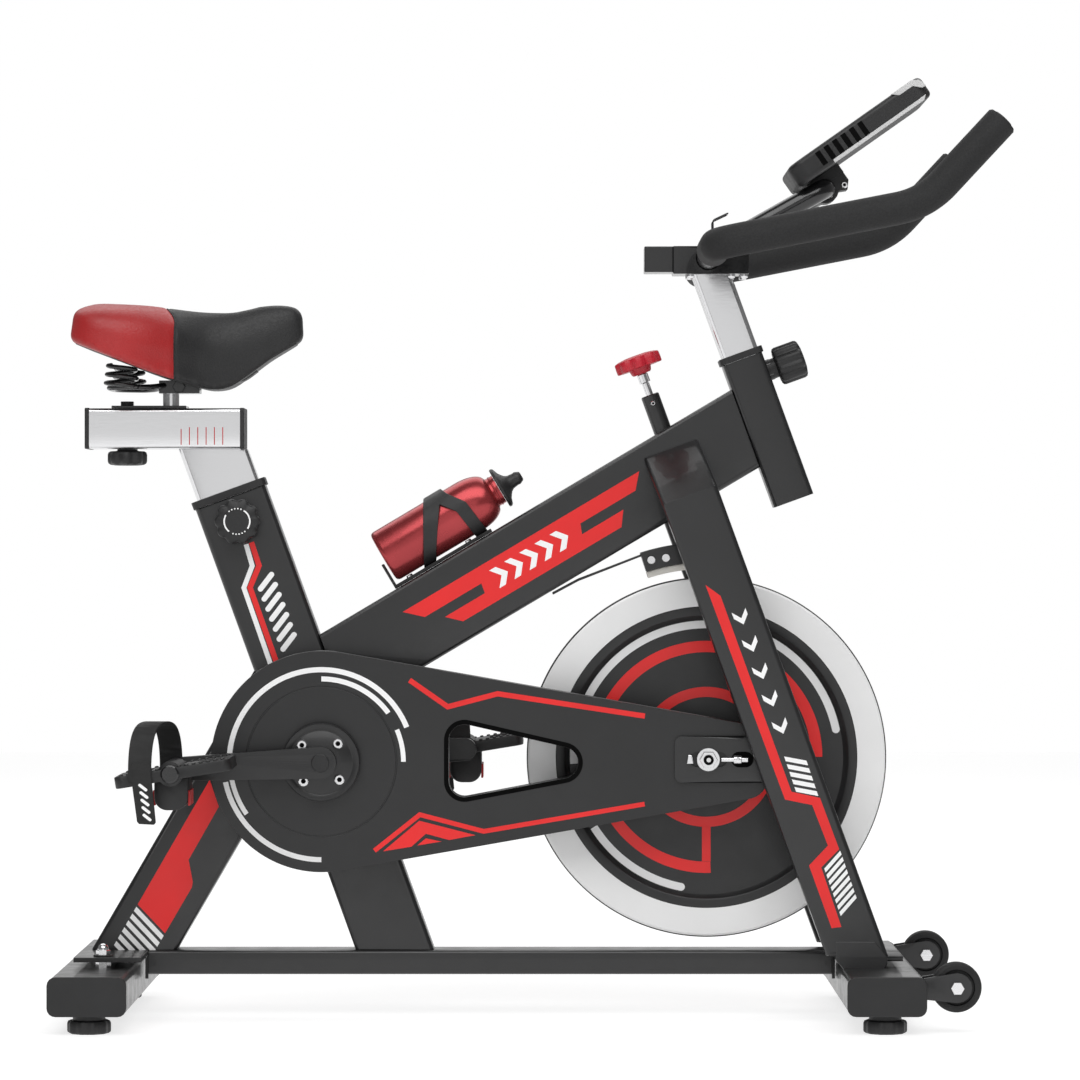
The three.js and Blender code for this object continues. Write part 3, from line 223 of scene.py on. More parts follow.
# ---------------------------------------------------------------- mesh tools
def settle(obj, body, materials, replaces=()):
    """Gives a finished piece its materials, its body and the nodes it stands for."""
    materials = materials if isinstance(materials, list) else [materials]
    obj.data.materials.clear()
    for material in materials:
        obj.data.materials.append(material)
    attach(obj, body)
    if replaces:
        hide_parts(*replaces)
    return obj


def from_bmesh(name, bm, smooth=30):
    mesh = bpy.data.meshes.new(name)
    bmesh.ops.recalc_face_normals(bm, faces=bm.faces)
    bm.to_mesh(mesh)
    bm.free()
    obj = bpy.data.objects.new(name, mesh)
    bpy.context.scene.collection.objects.link(obj)
    shade(obj, smooth)
    return obj


def shade(obj, degrees=30):
    mesh = obj.data
    mesh.polygons.foreach_set("use_smooth", [True] * len(mesh.polygons))
    mesh.set_sharp_from_angle(angle=math.radians(degrees))


def bevel(obj, width, segments=3, angle=30):
    mod = obj.modifiers.new("bevel", "BEVEL")
    mod.width = width * MM
    mod.segments = segments
    mod.limit_method = "ANGLE"
    mod.angle_limit = math.radians(angle)
    mod.harden_normals = True
    return obj


def apply_modifiers(obj):
    graph = bpy.context.evaluated_depsgraph_get()
    mesh = bpy.data.meshes.new_from_object(obj.evaluated_get(graph))
    obj.modifiers.clear()
    obj.data = mesh
    return obj


def refined(node, material, width=1.0, segments=3, angle=30, corner=0, smooth=30):
    """The CAD node's own shape cleaned up; a tube's long outer corners may take a larger radius."""
    body = next(b for b, nodes in frame["record"]["behaviour"]["bodies"].items() if node in nodes)
    bm = bmesh.new()
    bm.from_mesh(frame["nodes"][node].data)
    bmesh.ops.remove_doubles(bm, verts=bm.verts, dist=0.00002)
    bmesh.ops.dissolve_limit(bm, angle_limit=math.radians(1), verts=bm.verts, edges=bm.edges)
    if corner:
        long = [e for e in bm.edges if e.is_convex and e.calc_length() > 55 * MM
                and e.calc_face_angle(0) > 1]
        bmesh.ops.bevel(bm, geom=long, offset=corner * MM, segments=5, profile=0.5, affect="EDGES",
                        clamp_overlap=False)
    obj = from_bmesh(node + "_finished", bm, smooth)
    bevel(obj, width, segments, angle)
    return settle(obj, body, material, (node,))


def outward(side, near, far):
    """A layer's two depths along X x Z, for the right (-1) or the left (1) side."""
    return sorted((-side * near, -side * far))


def basis(origin, u, v):
    w = u.cross(v)
    matrix = Matrix((u, v, w)).transposed().to_4x4()
    matrix.translation = origin
    return matrix


def filled(name, loops, plane, low, high, smooth=30):
    """Outlines in a plane (origin, u, v), the first outside and the rest holes, made solid along u x v."""
    curve = bpy.data.curves.new(name, "CURVE")
    curve.dimensions = "2D"
    curve.fill_mode = "BOTH"
    curve.extrude = (high - low) / 2 * MM
    for loop in loops:
        spline = curve.splines.new("POLY")
        spline.points.add(len(loop) - 1)
        for point, (a, b) in zip(spline.points, loop):
            point.co = (a * MM, b * MM, 0, 1)
        spline.use_cyclic_u = True
    temp = bpy.data.objects.new(name, curve)
    bpy.context.scene.collection.objects.link(temp)
    graph = bpy.context.evaluated_depsgraph_get()
    mesh = bpy.data.meshes.new_from_object(temp.evaluated_get(graph))
    bpy.data.objects.remove(temp)
    mesh.transform(Matrix.Translation((0, 0, (low + high) / 2 * MM)))
    mesh.transform(basis(*plane))
    bm = bmesh.new()
    bm.from_mesh(mesh)
    bmesh.ops.remove_doubles(bm, verts=bm.verts, dist=0.000005)
    bmesh.ops.dissolve_limit(bm, angle_limit=math.radians(0.5), verts=bm.verts, edges=bm.edges)
    return from_bmesh(name, bm, smooth)


def ring_of(bm, count, place):
    """A ring of vertices; place gives each one's spot from its angle."""
    return [bm.verts.new(place(2 * math.pi * k / count)) for k in range(count)]


def polar(radius, angle, along):
    return Vector((radius * math.cos(angle), radius * math.sin(angle), along)) * MM


def mirrored(half):
    """A profile followed by its mirror image along the axis."""
    return half + [(radius, -along) for radius, along in half[::-1]]


def skin(name, bm, rings, smooth, closed=False):
    """Joins rings of equally many vertices into a tube, capped unless it closes on itself."""
    for lower, upper in list(zip(rings, rings[1:])) + ([(rings[-1], rings[0])] if closed else []):
        count = len(lower)
        for k in range(count):
            bm.faces.new([lower[k], lower[(k + 1) % count], upper[(k + 1) % count], upper[k]])
    if not closed:
        bm.faces.new(rings[0][::-1])
        bm.faces.new(rings[-1])
    return from_bmesh(name, bm, smooth)


def turned(name, profile, origin, axis, segments=64, smooth=30):
    """A turned piece from (radius, distance along the axis); without a point on the axis it is a ring."""
    bm = bmesh.new()
    is_ring = profile[0][0] > 0 and profile[-1][0] > 0
    if is_ring:
        profile = [*profile, profile[0]]
    rotation = Z.rotation_difference(axis).to_matrix()
    rings = []
    for radius, along in profile:
        count = segments if radius > 0 else 1
        rings.append(ring_of(bm, count, lambda a: origin + rotation @ polar(radius, a, along)))
    for lower, upper in zip(rings, rings[1:]):
        for i in range(segments):
            j = (i + 1) % segments
            corners = [lower[i % len(lower)], lower[j % len(lower)], upper[j % len(upper)],
                       upper[i % len(upper)]]
            unique = list(dict.fromkeys(corners))
            if len(unique) > 2:
                bm.faces.new(unique)
    if is_ring:
        bmesh.ops.remove_doubles(bm, verts=bm.verts, dist=0.000001)
    return from_bmesh(name, bm, smooth)


def lathe(name, body, material, profile, origin, axis, segments=64, smooth=30, replaces=()):
    """A turned piece in its place."""
    return settle(turned(name, profile, origin, axis, segments, smooth), body, material, replaces)


def arc(cx, cy, radius, start, end, steps=24):
    """Points on an arc, degrees from the first direction, anticlockwise when end is larger."""
    points = []
    for i in range(steps + 1):
        angle = math.radians(start + (end - start) * i / steps)
        points.append((cx + radius * math.cos(angle), cy + radius * math.sin(angle)))
    return points


def round_box(x0, x1, y0, y1, r, steps=10):
    """A rectangle with rounded corners."""
    corners = ((x1 - r, y1 - r, 0), (x0 + r, y1 - r, 90), (x0 + r, y0 + r, 180), (x1 - r, y0 + r, 270))
    return [spot for x, y, start in corners for spot in arc(x, y, r, start, start + 90, steps)]


def band(cx, cy, inner, outer, start, end, steps=48, round_start=False, round_end=False):
    """The outline of a ring sector whose ends may be rounded."""
    r, half = (inner + outer) / 2, (outer - inner) / 2

    def cap(angle, turn):
        spot = (cx + r * math.cos(math.radians(angle)), cy + r * math.sin(math.radians(angle)))
        return arc(*spot, half, turn, turn + 180, 10)[1:-1]

    outline = arc(cx, cy, outer, start, end, steps) + (cap(end, end) if round_end else [])
    outline += arc(cx, cy, inner, end, start, steps) + (cap(start, start + 180) if round_start else [])
    return outline


def swept(name, points, radius, sides=20, closed=False, smooth=40):
    """A round bar along points; rings turn with the path and the ends are capped."""
    bm = bmesh.new()
    count = len(points)
    rings = []
    normal = None
    for i, point in enumerate(points):
        before = points[(i - 1) % count] if closed or i else point
        after = points[(i + 1) % count] if closed or i < count - 1 else point
        tangent = (after - before).normalized()
        if normal is None:
            normal = tangent.orthogonal().normalized()
        normal = (normal - tangent * normal.dot(tangent)).normalized()
        other = tangent.cross(normal)
        size = radius(i / (count - 1)) if callable(radius) else radius
        rings.append(ring_of(bm, sides, lambda a: point
                             + (normal * math.cos(a) + other * math.sin(a)) * size * MM))
    return skin(name, bm, rings, smooth, closed)


def lobed(name, origin, axis, lobes, depth, profile, power=1.6):
    """A grip with rounded lobes: (radius, distance) rings whose lobes fade where the third value says."""
    count = lobes * 16
    bm = bmesh.new()
    rotation = Z.rotation_difference(axis).to_matrix()
    rings = []
    for radius, along, share in profile:
        def place(angle):
            r = radius - depth * share * (0.5 - 0.5 * math.cos(lobes * angle)) ** power
            return origin + rotation @ polar(r, angle, along)

        rings.append(ring_of(bm, count, place))
    return skin(name, bm, rings, 40)


def bent(corners, radius, steps=10):
    """Corners rounded into arcs, as points; the radius is the length taken from each side, in millimetres."""
    points = [corners[0]]
    for before, corner, after in zip(corners, corners[1:], corners[2:]):
        back = before - corner
        ahead = after - corner
        reach = min(radius * MM, 0.49 * back.length, 0.49 * ahead.length)
        start = corner + back.normalized() * reach
        end = corner + ahead.normalized() * reach
        for i in range(steps + 1):
            t = i / steps
            points.append(start * (1 - t) ** 2 + corner * 2 * t * (1 - t) + end * t ** 2)
    points.append(corners[-1])
    return points


def subtract(obj, *cutters):
    """Cuts the cutters out of a piece and removes them."""
    for cutter in cutters:
        mod = obj.modifiers.new("cut", "BOOLEAN")
        mod.operation = "DIFFERENCE"
        mod.solver = "EXACT"
        mod.object = cutter
        apply_modifiers(obj)
        bpy.data.objects.remove(cutter)
    shade(obj)
    return obj


def merged(name, objects):
    """Several solids that are one physical piece, as one object."""
    bm = bmesh.new()
    for obj in objects:
        apply_modifiers(obj)
        bm.from_mesh(obj.data)
        bpy.data.objects.remove(obj)
    return from_bmesh(name, bm)


# ---------------------------------------------------------------- fasteners and stickers
def hexagon(name, origin, axis, across, height, chamfer=0.6):
    """A chamfered hexagonal head standing on origin, by its width across the flats."""
    r = across / math.sqrt(3)
    profile = [(0, 0), (r, 0), (r, height - chamfer), (r - chamfer, height), (0, height)]
    return turned(name, profile, origin, axis, 6, 20)


def socket_bolt(name, origin, axis, r, height, body):
    """A round bolt head with a recess for a hexagonal key; the near-black hexagon at its bottom is painted
    shade.
    """
    recess = r * 0.5
    deep = min(2.5, height * 0.8)
    profile = [(0, 0), (r, 0), (r, height - 0.8), (r - 0.8, height), (recess, height),
               (recess, height - deep), (0, height - deep)]
    head = turned(name, profile, origin, axis, 48)
    settle(hexagon(name + "_recess", origin + axis * (height - deep) * MM, axis, recess * 1.9, 0.5, 0.1),
           body, SHADOW)
    return settle(head, body, CHROME)


def button_bolt(name, origin, axis, r, height, body):
    """A plain flat bolt head with a rounded rim."""
    rim = [(0, 0), (r, 0), (r, height * 0.5), (r * 0.97, height * 0.8), (r * 0.88, height), (0, height)]
    return lathe(name, body, CHROME, rim, origin, axis, 48, 30)


def acorn_nut(name, origin, axis, body, across=13.0):
    """A domed nut on its collar."""
    base = hexagon(name + "_base", origin, axis, across, 5.2)
    r = across * 0.44
    dome = [(0, 4.5), (r, 4.5), (r, 6)] + [(r * math.cos(a), 6 + r * math.sin(a))
                                           for a in (0.3, 0.6, 0.9, 1.2, 1.4)] + [(0, 6 + r)]
    cap = turned(name + "_dome", dome, origin, axis, 40, 40)
    return settle(merged(name, [base, cap]), body, CHROME)


def sticker(name, loops, plane, face, material, body="frame", thick=0.25, sides=(-1, 1)):
    """A thin film on the side faces of a part, facing right (-1), left (1) or both."""
    for side in sides:
        low, high = outward(side, face, face + thick)
        label = name + ("_right" if side < 0 else "_left")
        settle(filled(label, loops, plane, low, high), body, material)


def capsules(count, start, step, across, width):
    """A row of bars with round ends; each runs from its place along the vector across."""
    reach = Vector(across)
    turn = math.degrees(math.atan2(reach.y, reach.x))
    row = []
    for i in range(count):
        a = Vector(start) + Vector(step) * i
        b = a + reach
        row.append(arc(*a, width / 2, turn + 90, turn + 270, 10)
                   + arc(*b, width / 2, turn - 90, turn + 90, 10))
    return row


def hatch(count, first, step, second, share=0.62):
    """Bars between two parallel lines: first and second are the ends of the leading bar's edge."""
    a, b, pitch = Vector(first), Vector(second), Vector(step)
    row = []
    for i in range(count):
        near, far = a + pitch * i, b + pitch * i
        row.append([tuple(near), tuple(far), tuple(far + pitch * share), tuple(near + pitch * share)])
    return row


def stripe(points, width):
    """A zigzag line of even width as one closed outline."""
    left, right = [], []
    spots = [Vector(p) for p in points]
    for i, spot in enumerate(spots):
        ahead = (spots[min(i + 1, len(spots) - 1)] - spots[max(i - 1, 0)]).normalized()
        first = (spot - spots[i - 1]).normalized() if i else ahead
        second = (spots[i + 1] - spot).normalized() if i < len(spots) - 1 else ahead
        normal = Vector((-(first + second).y, (first + second).x)).normalized()
        reach = width / 2 / max(0.4, normal.dot(Vector((-second.y, second.x))))
        left.append(tuple(spot + normal * reach))
        right.append(tuple(spot - normal * reach))
    return left + right[::-1]


# ---------------------------------------------------------------- base
for node, corner in (("base_rail", 3), ("rear_leg", 5), ("seat_tube", 5), ("head_tube", 4),
                     ("main_beam", 5), ("fork_leg_right", 5), ("fork_leg_left", 5)):
    refined(node, PAINT, 0.6, angle=20, corner=corner, smooth=20)
for node in ("stabiliser_tube_rear", "stabiliser_tube_front", "bracket_rear"):
    refined(node, PAINT, 0.9)

# the front bracket stops at the fork legs, whose feet reach down past it to the stabiliser
bracket = refined("bracket_front", PAINT, 0.9)
apply_modifiers(bracket)
bm = bmesh.new()
bm.from_mesh(bracket.data)
for side in (-1, 1):
    cut = bmesh.ops.bisect_plane(bm, geom=bm.verts[:] + bm.edges[:] + bm.faces[:],
                                 plane_co=Y * side * 95 * MM, plane_no=Y * side, clear_outer=True)
    bmesh.ops.edgenet_fill(bm, edges=[e for e in cut["geom_cut"] if isinstance(e, bmesh.types.BMEdge)])
bm.to_mesh(bracket.data)
bm.free()
for end in ("rear", "front"):
    for name, side in SIDES:
        refined(f"end_cap_{end}_{name}", PLASTIC, 1.6, 4)


FOOT_Y = 180
FORK_END = [(314.5, 88), (357, 88), (370.3, 71.7), (370.3, 64), (364, 52.4), (328.5, 52.4), (316, 67)]
for name, side in SIDES:
    settle(bevel(filled(f"fork_end_{name}", [FORK_END], DATUM_PLANE, *outward(side, 70, 96.4)), 1), "frame",
           PAINT)


def foot(tag, x, side):
    """A levelling foot: scalloped disc with a neck, a rubber pad under it and a threaded stud."""
    body = f"foot_{tag}"
    origin = at(x, side * FOOT_Y, 0)
    edge = [(20.5, 0, 1), (22.6, 1.5, 1), (23, 3, 1), (23, 10.5, 1), (22, 13, 1), (19.5, 14, 1),
            (17, 14, 0)]
    disc = lobed(f"foot_disc_{tag}", origin, Z, 10, 1.6, edge, 1)
    neck = turned(f"foot_neck_{tag}", [(0, 13), (17, 13), (17, 18.5), (16, 19.6), (0, 19.6)], origin, Z)
    settle(merged(f"foot_knob_{tag}", [disc, neck]), body, PLASTIC, [body])
    lathe(f"foot_pad_{tag}", body, RUBBER, [(0, 0), (19.5, 0), (19.5, 1.4), (0, 1.4)], origin, Z)
    lathe(f"foot_stud_{tag}", body, ZINC, [(0, 19), (4.7, 19), (4.7, 34), (0, 34)], origin, Z, 24)


for name, side in SIDES:
    foot(f"rear_{name}", -472, side)
    foot(f"front_{name}", 361.4, side)
    bolt_x, bolt_y = -466, side * 90
    lathe(f"washer_rear_{name}", "frame", PLASTIC, [(0, 0), (10.5, 0), (10.5, 1.2), (9.9, 1.6), (0, 1.6)],
          at(bolt_x, bolt_y, 72), Z, 48)
    acorn_nut(f"nut_rear_{name}", at(bolt_x, bolt_y, 73.6), Z, "frame", 13.5)
    settle(hexagon(f"lock_nut_rear_{name}", at(bolt_x, bolt_y, 60), Z, 14, 7.4), "frame", CHROME)
    lathe(f"carriage_bolt_rear_{name}", "frame", ZINC, [(0, 0), (8, 0), (7.4, -1.6), (5.4, -3), (0, -3.6)],
          at(bolt_x, bolt_y, 20), Z, 40, 40)
    # transport wheel: tyre, recessed web and hub, between the nuts of its bolt
    wheel = f"transport_wheel_{name}"
    origin = at(435, side * 187, 48.8)
    lathe(f"wheel_tyre_{name}", wheel, RUBBER, mirrored([(5.6, -7), (9, -8.6), (10.5, -8.6), (11, -6),
            (18, -6), (19, -8.8), (23, -9), (25.4, -7.6), (26.3, -4.5)]), origin, Y, 96, replaces=[wheel])
    for face in (-1, 1):
        settle(hexagon(f"wheel_nut_{name}_{'outer' if face == side else 'inner'}",
                       origin + Y * face * 13.2 * MM, Y * face, 12.6, 4.2), "frame", CHROME)

# ---------------------------------------------------------------- frame stickers
# the beam: a long red block notched at both ends, with white chevrons in its middle
BEAM_FACE = (at(-43.3, 0, 478.7), BEAM_ALONG, BEAM_UP)
BEAM_BLOCK = [(-111.4, 19), (186.6, 19), (172.4, 3), (103, 3), (98.6, -8), (150.6, -8), (139.2, -23.2),
              (-60.2, -23.2), (-74.7, -9), (-24.4, -9), (-22.3, 2), (-93.5, 2)]
sticker("beam_block", [BEAM_BLOCK], BEAM_FACE, 22, RED_VINYL)
CHEVRONS = [[(x, 9.5), (x + 8, 9.5), (x + 17, -1.5), (x + 8, -12.5), (x, -12.5), (x + 9, -1.5)]
            for x in range(-8, 84, 19)]
sticker("beam_chevrons", CHEVRONS, BEAM_FACE, 22.25, WHITE_VINYL)

# the seat tube: a white and a red line side by side, and a ladder of bars with round ends
SEAT_FACE = (at(-338.5, 0, 570), LEAN_UP, -LEAN_AHEAD)
SEAT_WHITE = stripe([(-62, 1), (-86.2, 2.7), (-105.5, 19.4), (-200, 20.6)], 5.2)
SEAT_RED = stripe([(-62, -5.2), (-88.6, -4.3), (-107.5, 13), (-200, 13.9)], 5.8)
sticker("seat_line_white", [SEAT_WHITE], SEAT_FACE, 20, WHITE_VINYL)
sticker("seat_line_red", [SEAT_RED], SEAT_FACE, 20, RED_VINYL)
sticker("seat_bars", capsules(7, (-112.8, 2.9), (-11.6, -0.1), (10.6, -16.6), 5.8), SEAT_FACE, 20,
        WHITE_VINYL)

# the rear leg: a red panel with a notch, and white hatching down to the bracket
LEG_FACE = (at(-407.8, 0, 126.7), LEG_ALONG, LEG_UP)
LEG_PANEL = [(137.3, 21.9), (117.1, -1.3), (50.9, -2), (32.6, -17.9), (27, -20), (-30.7, -20),
             (-18.6, 21.4)]
sticker("leg_panel", [LEG_PANEL], LEG_FACE, 20, RED_VINYL)
sticker("leg_hatch", hatch(3, (-21.3, 21.4), (-8.6, 0), (-33.6, -20)), LEG_FACE, 20, WHITE_VINYL)
LOW_BARS = []
for k, share in ((3, 0.9), (4, 0.62), (5, 0.34)):
    x, dx, dz = -21.3 - 8.6 * k, 12.3 * share, 41.4 * share
    LOW_BARS.append([(x, 21.4), (x - dx, 21.4 - dz), (x - 5.3 - dx, 21.4 - dz), (x - 5.3, 21.4)])
sticker("leg_hatch_low", LOW_BARS, LEG_FACE, 20, WHITE_VINYL)

# the fork: a red line that steps across the leg twice, hatching at each step and chevrons above
FORK_FACE = (at(317, 0, 131.5), LEAN_UP, -LEAN_AHEAD)
FORK_RED = [(364.3, 17), (348.1, 6), (126, 6.3), (109.5, -20), (51.1, -20.5), (39.3, 4.1), (-27.5, 5.6),
            (-25.3, 15.8), (45.7, 15.6), (58.8, -10.6), (105.1, -9.6), (120.5, 15.6), (349, 17)]
sticker("fork_line", [FORK_RED], FORK_FACE, 96, RED_VINYL)
sticker("fork_hatch_high", hatch(5, (164, 0.8), (-8.6, 0.2), (151.7, -20)), FORK_FACE, 96, WHITE_VINYL)
sticker("fork_hatch_low", hatch(8, (37, 1.5), (-7, 0.1), (49.2, -21)), FORK_FACE, 96, WHITE_VINYL)
FORK_MARKS = [[(z, 1), (z - 9, -6.8), (z, -14.6), (z + 7, -14.6), (z - 2, -6.8), (z + 7, 1)]
              for z in (320, 289, 258, 227, 196)]
sticker("fork_chevrons", FORK_MARKS, FORK_FACE, 96, WHITE_VINYL)

# ---------------------------------------------------------------- flywheel
RIM_STEP = 163.5


def flywheel():
    """The turned wheel; its rim faces are light paint, the rest dark."""
    half = [(8.3, 20), (30.5, 20), (32, 18.5), (32, 8.4), (33.4, 7), (148.5, 7), (150, 8), (153.6, 12.6),
            (155, 13.2), (RIM_STEP - 0.6, 13.4), (RIM_STEP, 13.9), (RIM_STEP + 0.6, 14), (191.5, 14.6),
            (193.6, 13.6), (195, 11.4), (195, 0)]
    other = [(r, -y) for r, y in half[:-1]][::-1]
    obj = turned("flywheel_turned", half + other, FLY, Y, 240, 25)
    settle(obj, "flywheel", [WHEEL_PAINT, RIM], ["flywheel"])
    for face in obj.data.polygons:
        spot = face.center - FLY
        radius = math.hypot(spot.x, spot.z)
        face.material_index = 1 if RIM_STEP * MM < radius < 193.4 * MM else 0


flywheel()
sticker("flywheel_silver_arc", [band(0, 0, 139.6, 148, 12, 183, 120, round_start=True),
                                band(0, 0, 139.6, 148, 212, 259, 50, round_end=True)], FLY_PLANE, 7,
        SILVER_VINYL, "flywheel")
sticker("flywheel_red_arc", [band(0, 0, 113.7, 126, 0, 152, 100), band(0, 0, 113.7, 126, 214, 272.2, 50)],
        FLY_PLANE, 7, RED_VINYL, "flywheel")
sticker("flywheel_red_ring", [band(0, 0, 65, 76, 0, 359.99, 160)], FLY_PLANE, 7, RED_VINYL, "flywheel")
sticker("flywheel_red_bar", [[(-4.7, -113.5), (4.7, -113.5), (4.7, -75.8), (-4.7, -75.8)]], FLY_PLANE, 7,
        RED_VINYL, "flywheel")
for name, side in SIDES:
    lathe(f"hub_flange_{name}", "flywheel", ZINC, [(8.5, 20), (15, 20), (15, 22.5), (13, 26), (8.5, 26)],
          FLY, Y * side)

lathe("driven_pulley_turned", "flywheel", ZINC, [(8.3, -52.5), (16, -52.5), (16, -48), (23.5, -48),
        (23.5, -52.5), (29.5, -52.5), (29.5, -37.5), (23.5, -37.5), (23.5, -42), (16, -42), (16, -20.3),
        (8.3, -20.3)], FLY, Y, 96, replaces=["driven_pulley"])

# axle, with its washers, lock nuts and belt tensioners in the fork's slots
lathe("flywheel_axle_turned", "frame", ZINC, mirrored([(0, -80), (4.4, -80), (5, -79.4), (5, -66),
        (8, -66)]), FLY, Y, 64, replaces=["flywheel_axle"])
for name, side in SIDES:
    out = Y * side
    lathe(f"axle_washer_{name}", "frame", CHROME, [(5.2, 66.6), (12.6, 66.6), (12.6, 68.2), (12.1, 68.8),
            (5.2, 68.8)], FLY, out, 64)
    settle(hexagon(f"axle_nut_{name}", FLY + out * 68.8 * MM, out, 17, 8), "frame", CHROME)
    # a near-black ring over the axle's end in each nut: painted shade for the threaded hole
    lathe(f"axle_end_shade_{name}", "frame", SHADOW, [(2.4, 79), (5.4, 79), (5.4, 80.4), (2.4, 80.4)], FLY,
          out, 40)
    # a near-black sheet in the fork's slot: painted shade for its opening
    slot_loop = arc(33, 0, 8.4, 90, 270, 16) + arc(40, 0, 8.4, -90, 90, 16)
    settle(filled(f"tensioner_slot_shade_{name}", [slot_loop], FLY_PLANE, *outward(side, 66.3, 66.9)), "frame",
           SHADOW)
    settle(swept(f"tensioner_screw_{name}", [FLY + out * 69.6 * MM + X * d * MM for d in (14, 20, 27)], 2.6,
                 20), "frame", CHROME)
    lathe(f"tensioner_eye_{name}", "frame", CHROME,
          [(0, 27), (4.2, 27), (4.6, 27.6), (4.6, 35), (4.2, 35.6), (3, 35.6), (3, 42), (0, 42)],
          FLY + out * 70.2 * MM, X, 32)
    lathe(f"tensioner_pin_{name}", "frame", CHROME, [(0, 66.5), (2.6, 66.5), (2.6, 75), (0, 75.6)],
          FLY + X * 31.5 * MM, out, 24)
    settle(bevel(filled(f"tensioner_block_{name}", [[(-23.5, -4.4), (-16, -4.4), (-17.6, 5), (-22, 5.4)]],
                        FLY_PLANE, *outward(side, 66.4, 71.5)), 1), "frame", CHROME)

# ---------------------------------------------------------------- belt, pulleys and cover
lathe("drive_pulley_turned", "cranks", PLASTIC, [(8.4, -52.5), (22, -52.5), (22, -48), (80, -48),
        (83.5, -50), (83.5, -52.5), (89.5, -52.5), (89.5, -37.5), (83.5, -37.5), (83.5, -40), (80, -42),
        (22, -42), (22, -34), (8.4, -34)], CRANK, Y, 160, replaces=["drive_pulley"])
refined("belt", RUBBER, 0.4)

COVER_R = 118.6
NOSE_X = 222 + 234.7
NOSE_R = 22


def cover_outline(inset=0):
    """The big circle round the cranks, tapering to a rounded nose past the axle."""
    r, nose, half = COVER_R - inset, NOSE_R - inset, 40 - inset
    rise = math.degrees(math.asin((COVER_R - 40) / NOSE_X))
    return (arc(0, 0, r, 90 - rise, 270 + rise, 120) + arc(NOSE_X, nose - half, nose, 270 + rise, 360, 16)
            + arc(NOSE_X, half - nose, nose, 0, 90 - rise, 16))


def window_outline(grow=0):
    """A three-cornered window with round corners, from the crank centre."""
    corners = [(153.7, -21, 17), (258.7, -1, 17), (153.7, 23, 17)]
    outline = []
    for i, (x, z, r) in enumerate(corners):
        before, after = corners[i - 1], corners[(i + 1) % 3]
        start = math.degrees(math.atan2(z - before[1], x - before[0])) - 90
        end = math.degrees(math.atan2(after[1] - z, after[0] - x)) - 90
        outline += arc(x, z, r + grow, start, end + (360 if end < start else 0), 16)
    return outline


def hole(radius, x=0, z=0):
    return arc(x, z, radius, 0, 360, 64)[:-1]


AXLE_FROM_CRANK = ((FLY.x - CRANK.x) / MM, (FLY.z - CRANK.z) / MM)


def cover(name, face, split, axle_hole, rim):
    """A thin-walled half of the cover with its window."""
    outer = filled(name, [cover_outline(), window_outline(), hole(24), hole(axle_hole, *AXLE_FROM_CRANK)],
                   CRANK_PLANE, *sorted((face, split)))
    inside = sorted((face + math.copysign(2.5, split - face), split + math.copysign(1, split - face)))
    cutter = filled("cutter", [cover_outline(2.5), window_outline(2.5)], CRANK_PLANE, *inside)
    groove = turned("groove", [(79.7, face - 0.7), (81.3, face - 0.7), (81.3, face + 0.7),
                               (79.7, face + 0.7)], CRANK, -Y, 160)
    shell = subtract(outer, cutter, groove)
    bevel(shell, rim, 4, 60)
    return shell


settle(cover("cover_outer_shell", 62, 46, 9.5, 0.9), "frame", COVER_PLASTIC, ["cover_outer"])
settle(cover("cover_inner_shell", 30, 45.7, 18, 0.9), "frame", COVER_PLASTIC, ["cover_inner"])
# a near-black band round the window on the outer shell: painted shade along the window's edge
settle(bevel(filled("window_rim_shade", [window_outline(5), window_outline(0.2)], CRANK_PLANE, 62, 62.7), 0.3, 2),
       "frame", SHADOW)
seam = [CRANK + X * a * MM + Z * b * MM - Y * 45.85 * MM for a, b in cover_outline(0.05)]
settle(swept("cover_seam", seam, 0.5, 8, closed=True), "frame", GLOSS_PAINT)

COVER_FACE = 62


def cover_sticker(name, loops, material):
    sticker(name, loops, CRANK_PLANE, COVER_FACE, material, "frame", 0.22, (-1,))


cover_sticker("cover_white_arcs", [band(0, 0, 96, 101.6, 22, 178, 110), band(0, 0, 86.2, 91.6, 36, 90, 50),
                                   band(0, 0, 85.6, 90.6, 0, 23, 24)], WHITE_VINYL)
cover_sticker("cover_grey_arcs", [band(0, 0, 102.4, 107.8, 192, 270, 60),
                                  band(0, 0, 95.4, 100.4, 190, 215, 24)], SILVER_VINYL)


UPPER_LINE = stripe([(94.7, 87.6), (135.7, 59), (189.2, 73), (347.3, 49)], 5.6)
LOWER_LINE = stripe([(347, -45.4), (174.2, -74.7), (105.7, -56.8), (57, -95.5)], 5)
cover_sticker("cover_red_lines", [UPPER_LINE, LOWER_LINE], RED_VINYL)
COVER_CHEVRON = [(66.3, -96.1), (105.1, -63.3), (165.5, -78.8), (137, -84), (112.2, -77.2), (96.7, -91.2)]
CHEVRON_CORE = [(102.9, -89.9), (112.2, -82.2), (129, -85.6)]
cover_sticker("cover_red_chevron", [COVER_CHEVRON, CHEVRON_CORE], RED_VINYL)

# ---------------------------------------------------------------- cranks and pedals
CRANK_TILT = math.radians(2.5)
lathe("crank_axle_turned", "cranks", ZINC, mirrored([(0, -88), (7.2, -88), (8, -87)]), CRANK, Y, 48,
      replaces=["crank_axle"])


def pedal_centre(side):
    reach = side * 152 * MM
    return CRANK + X * reach * math.cos(CRANK_TILT) + Z * reach * math.sin(CRANK_TILT)


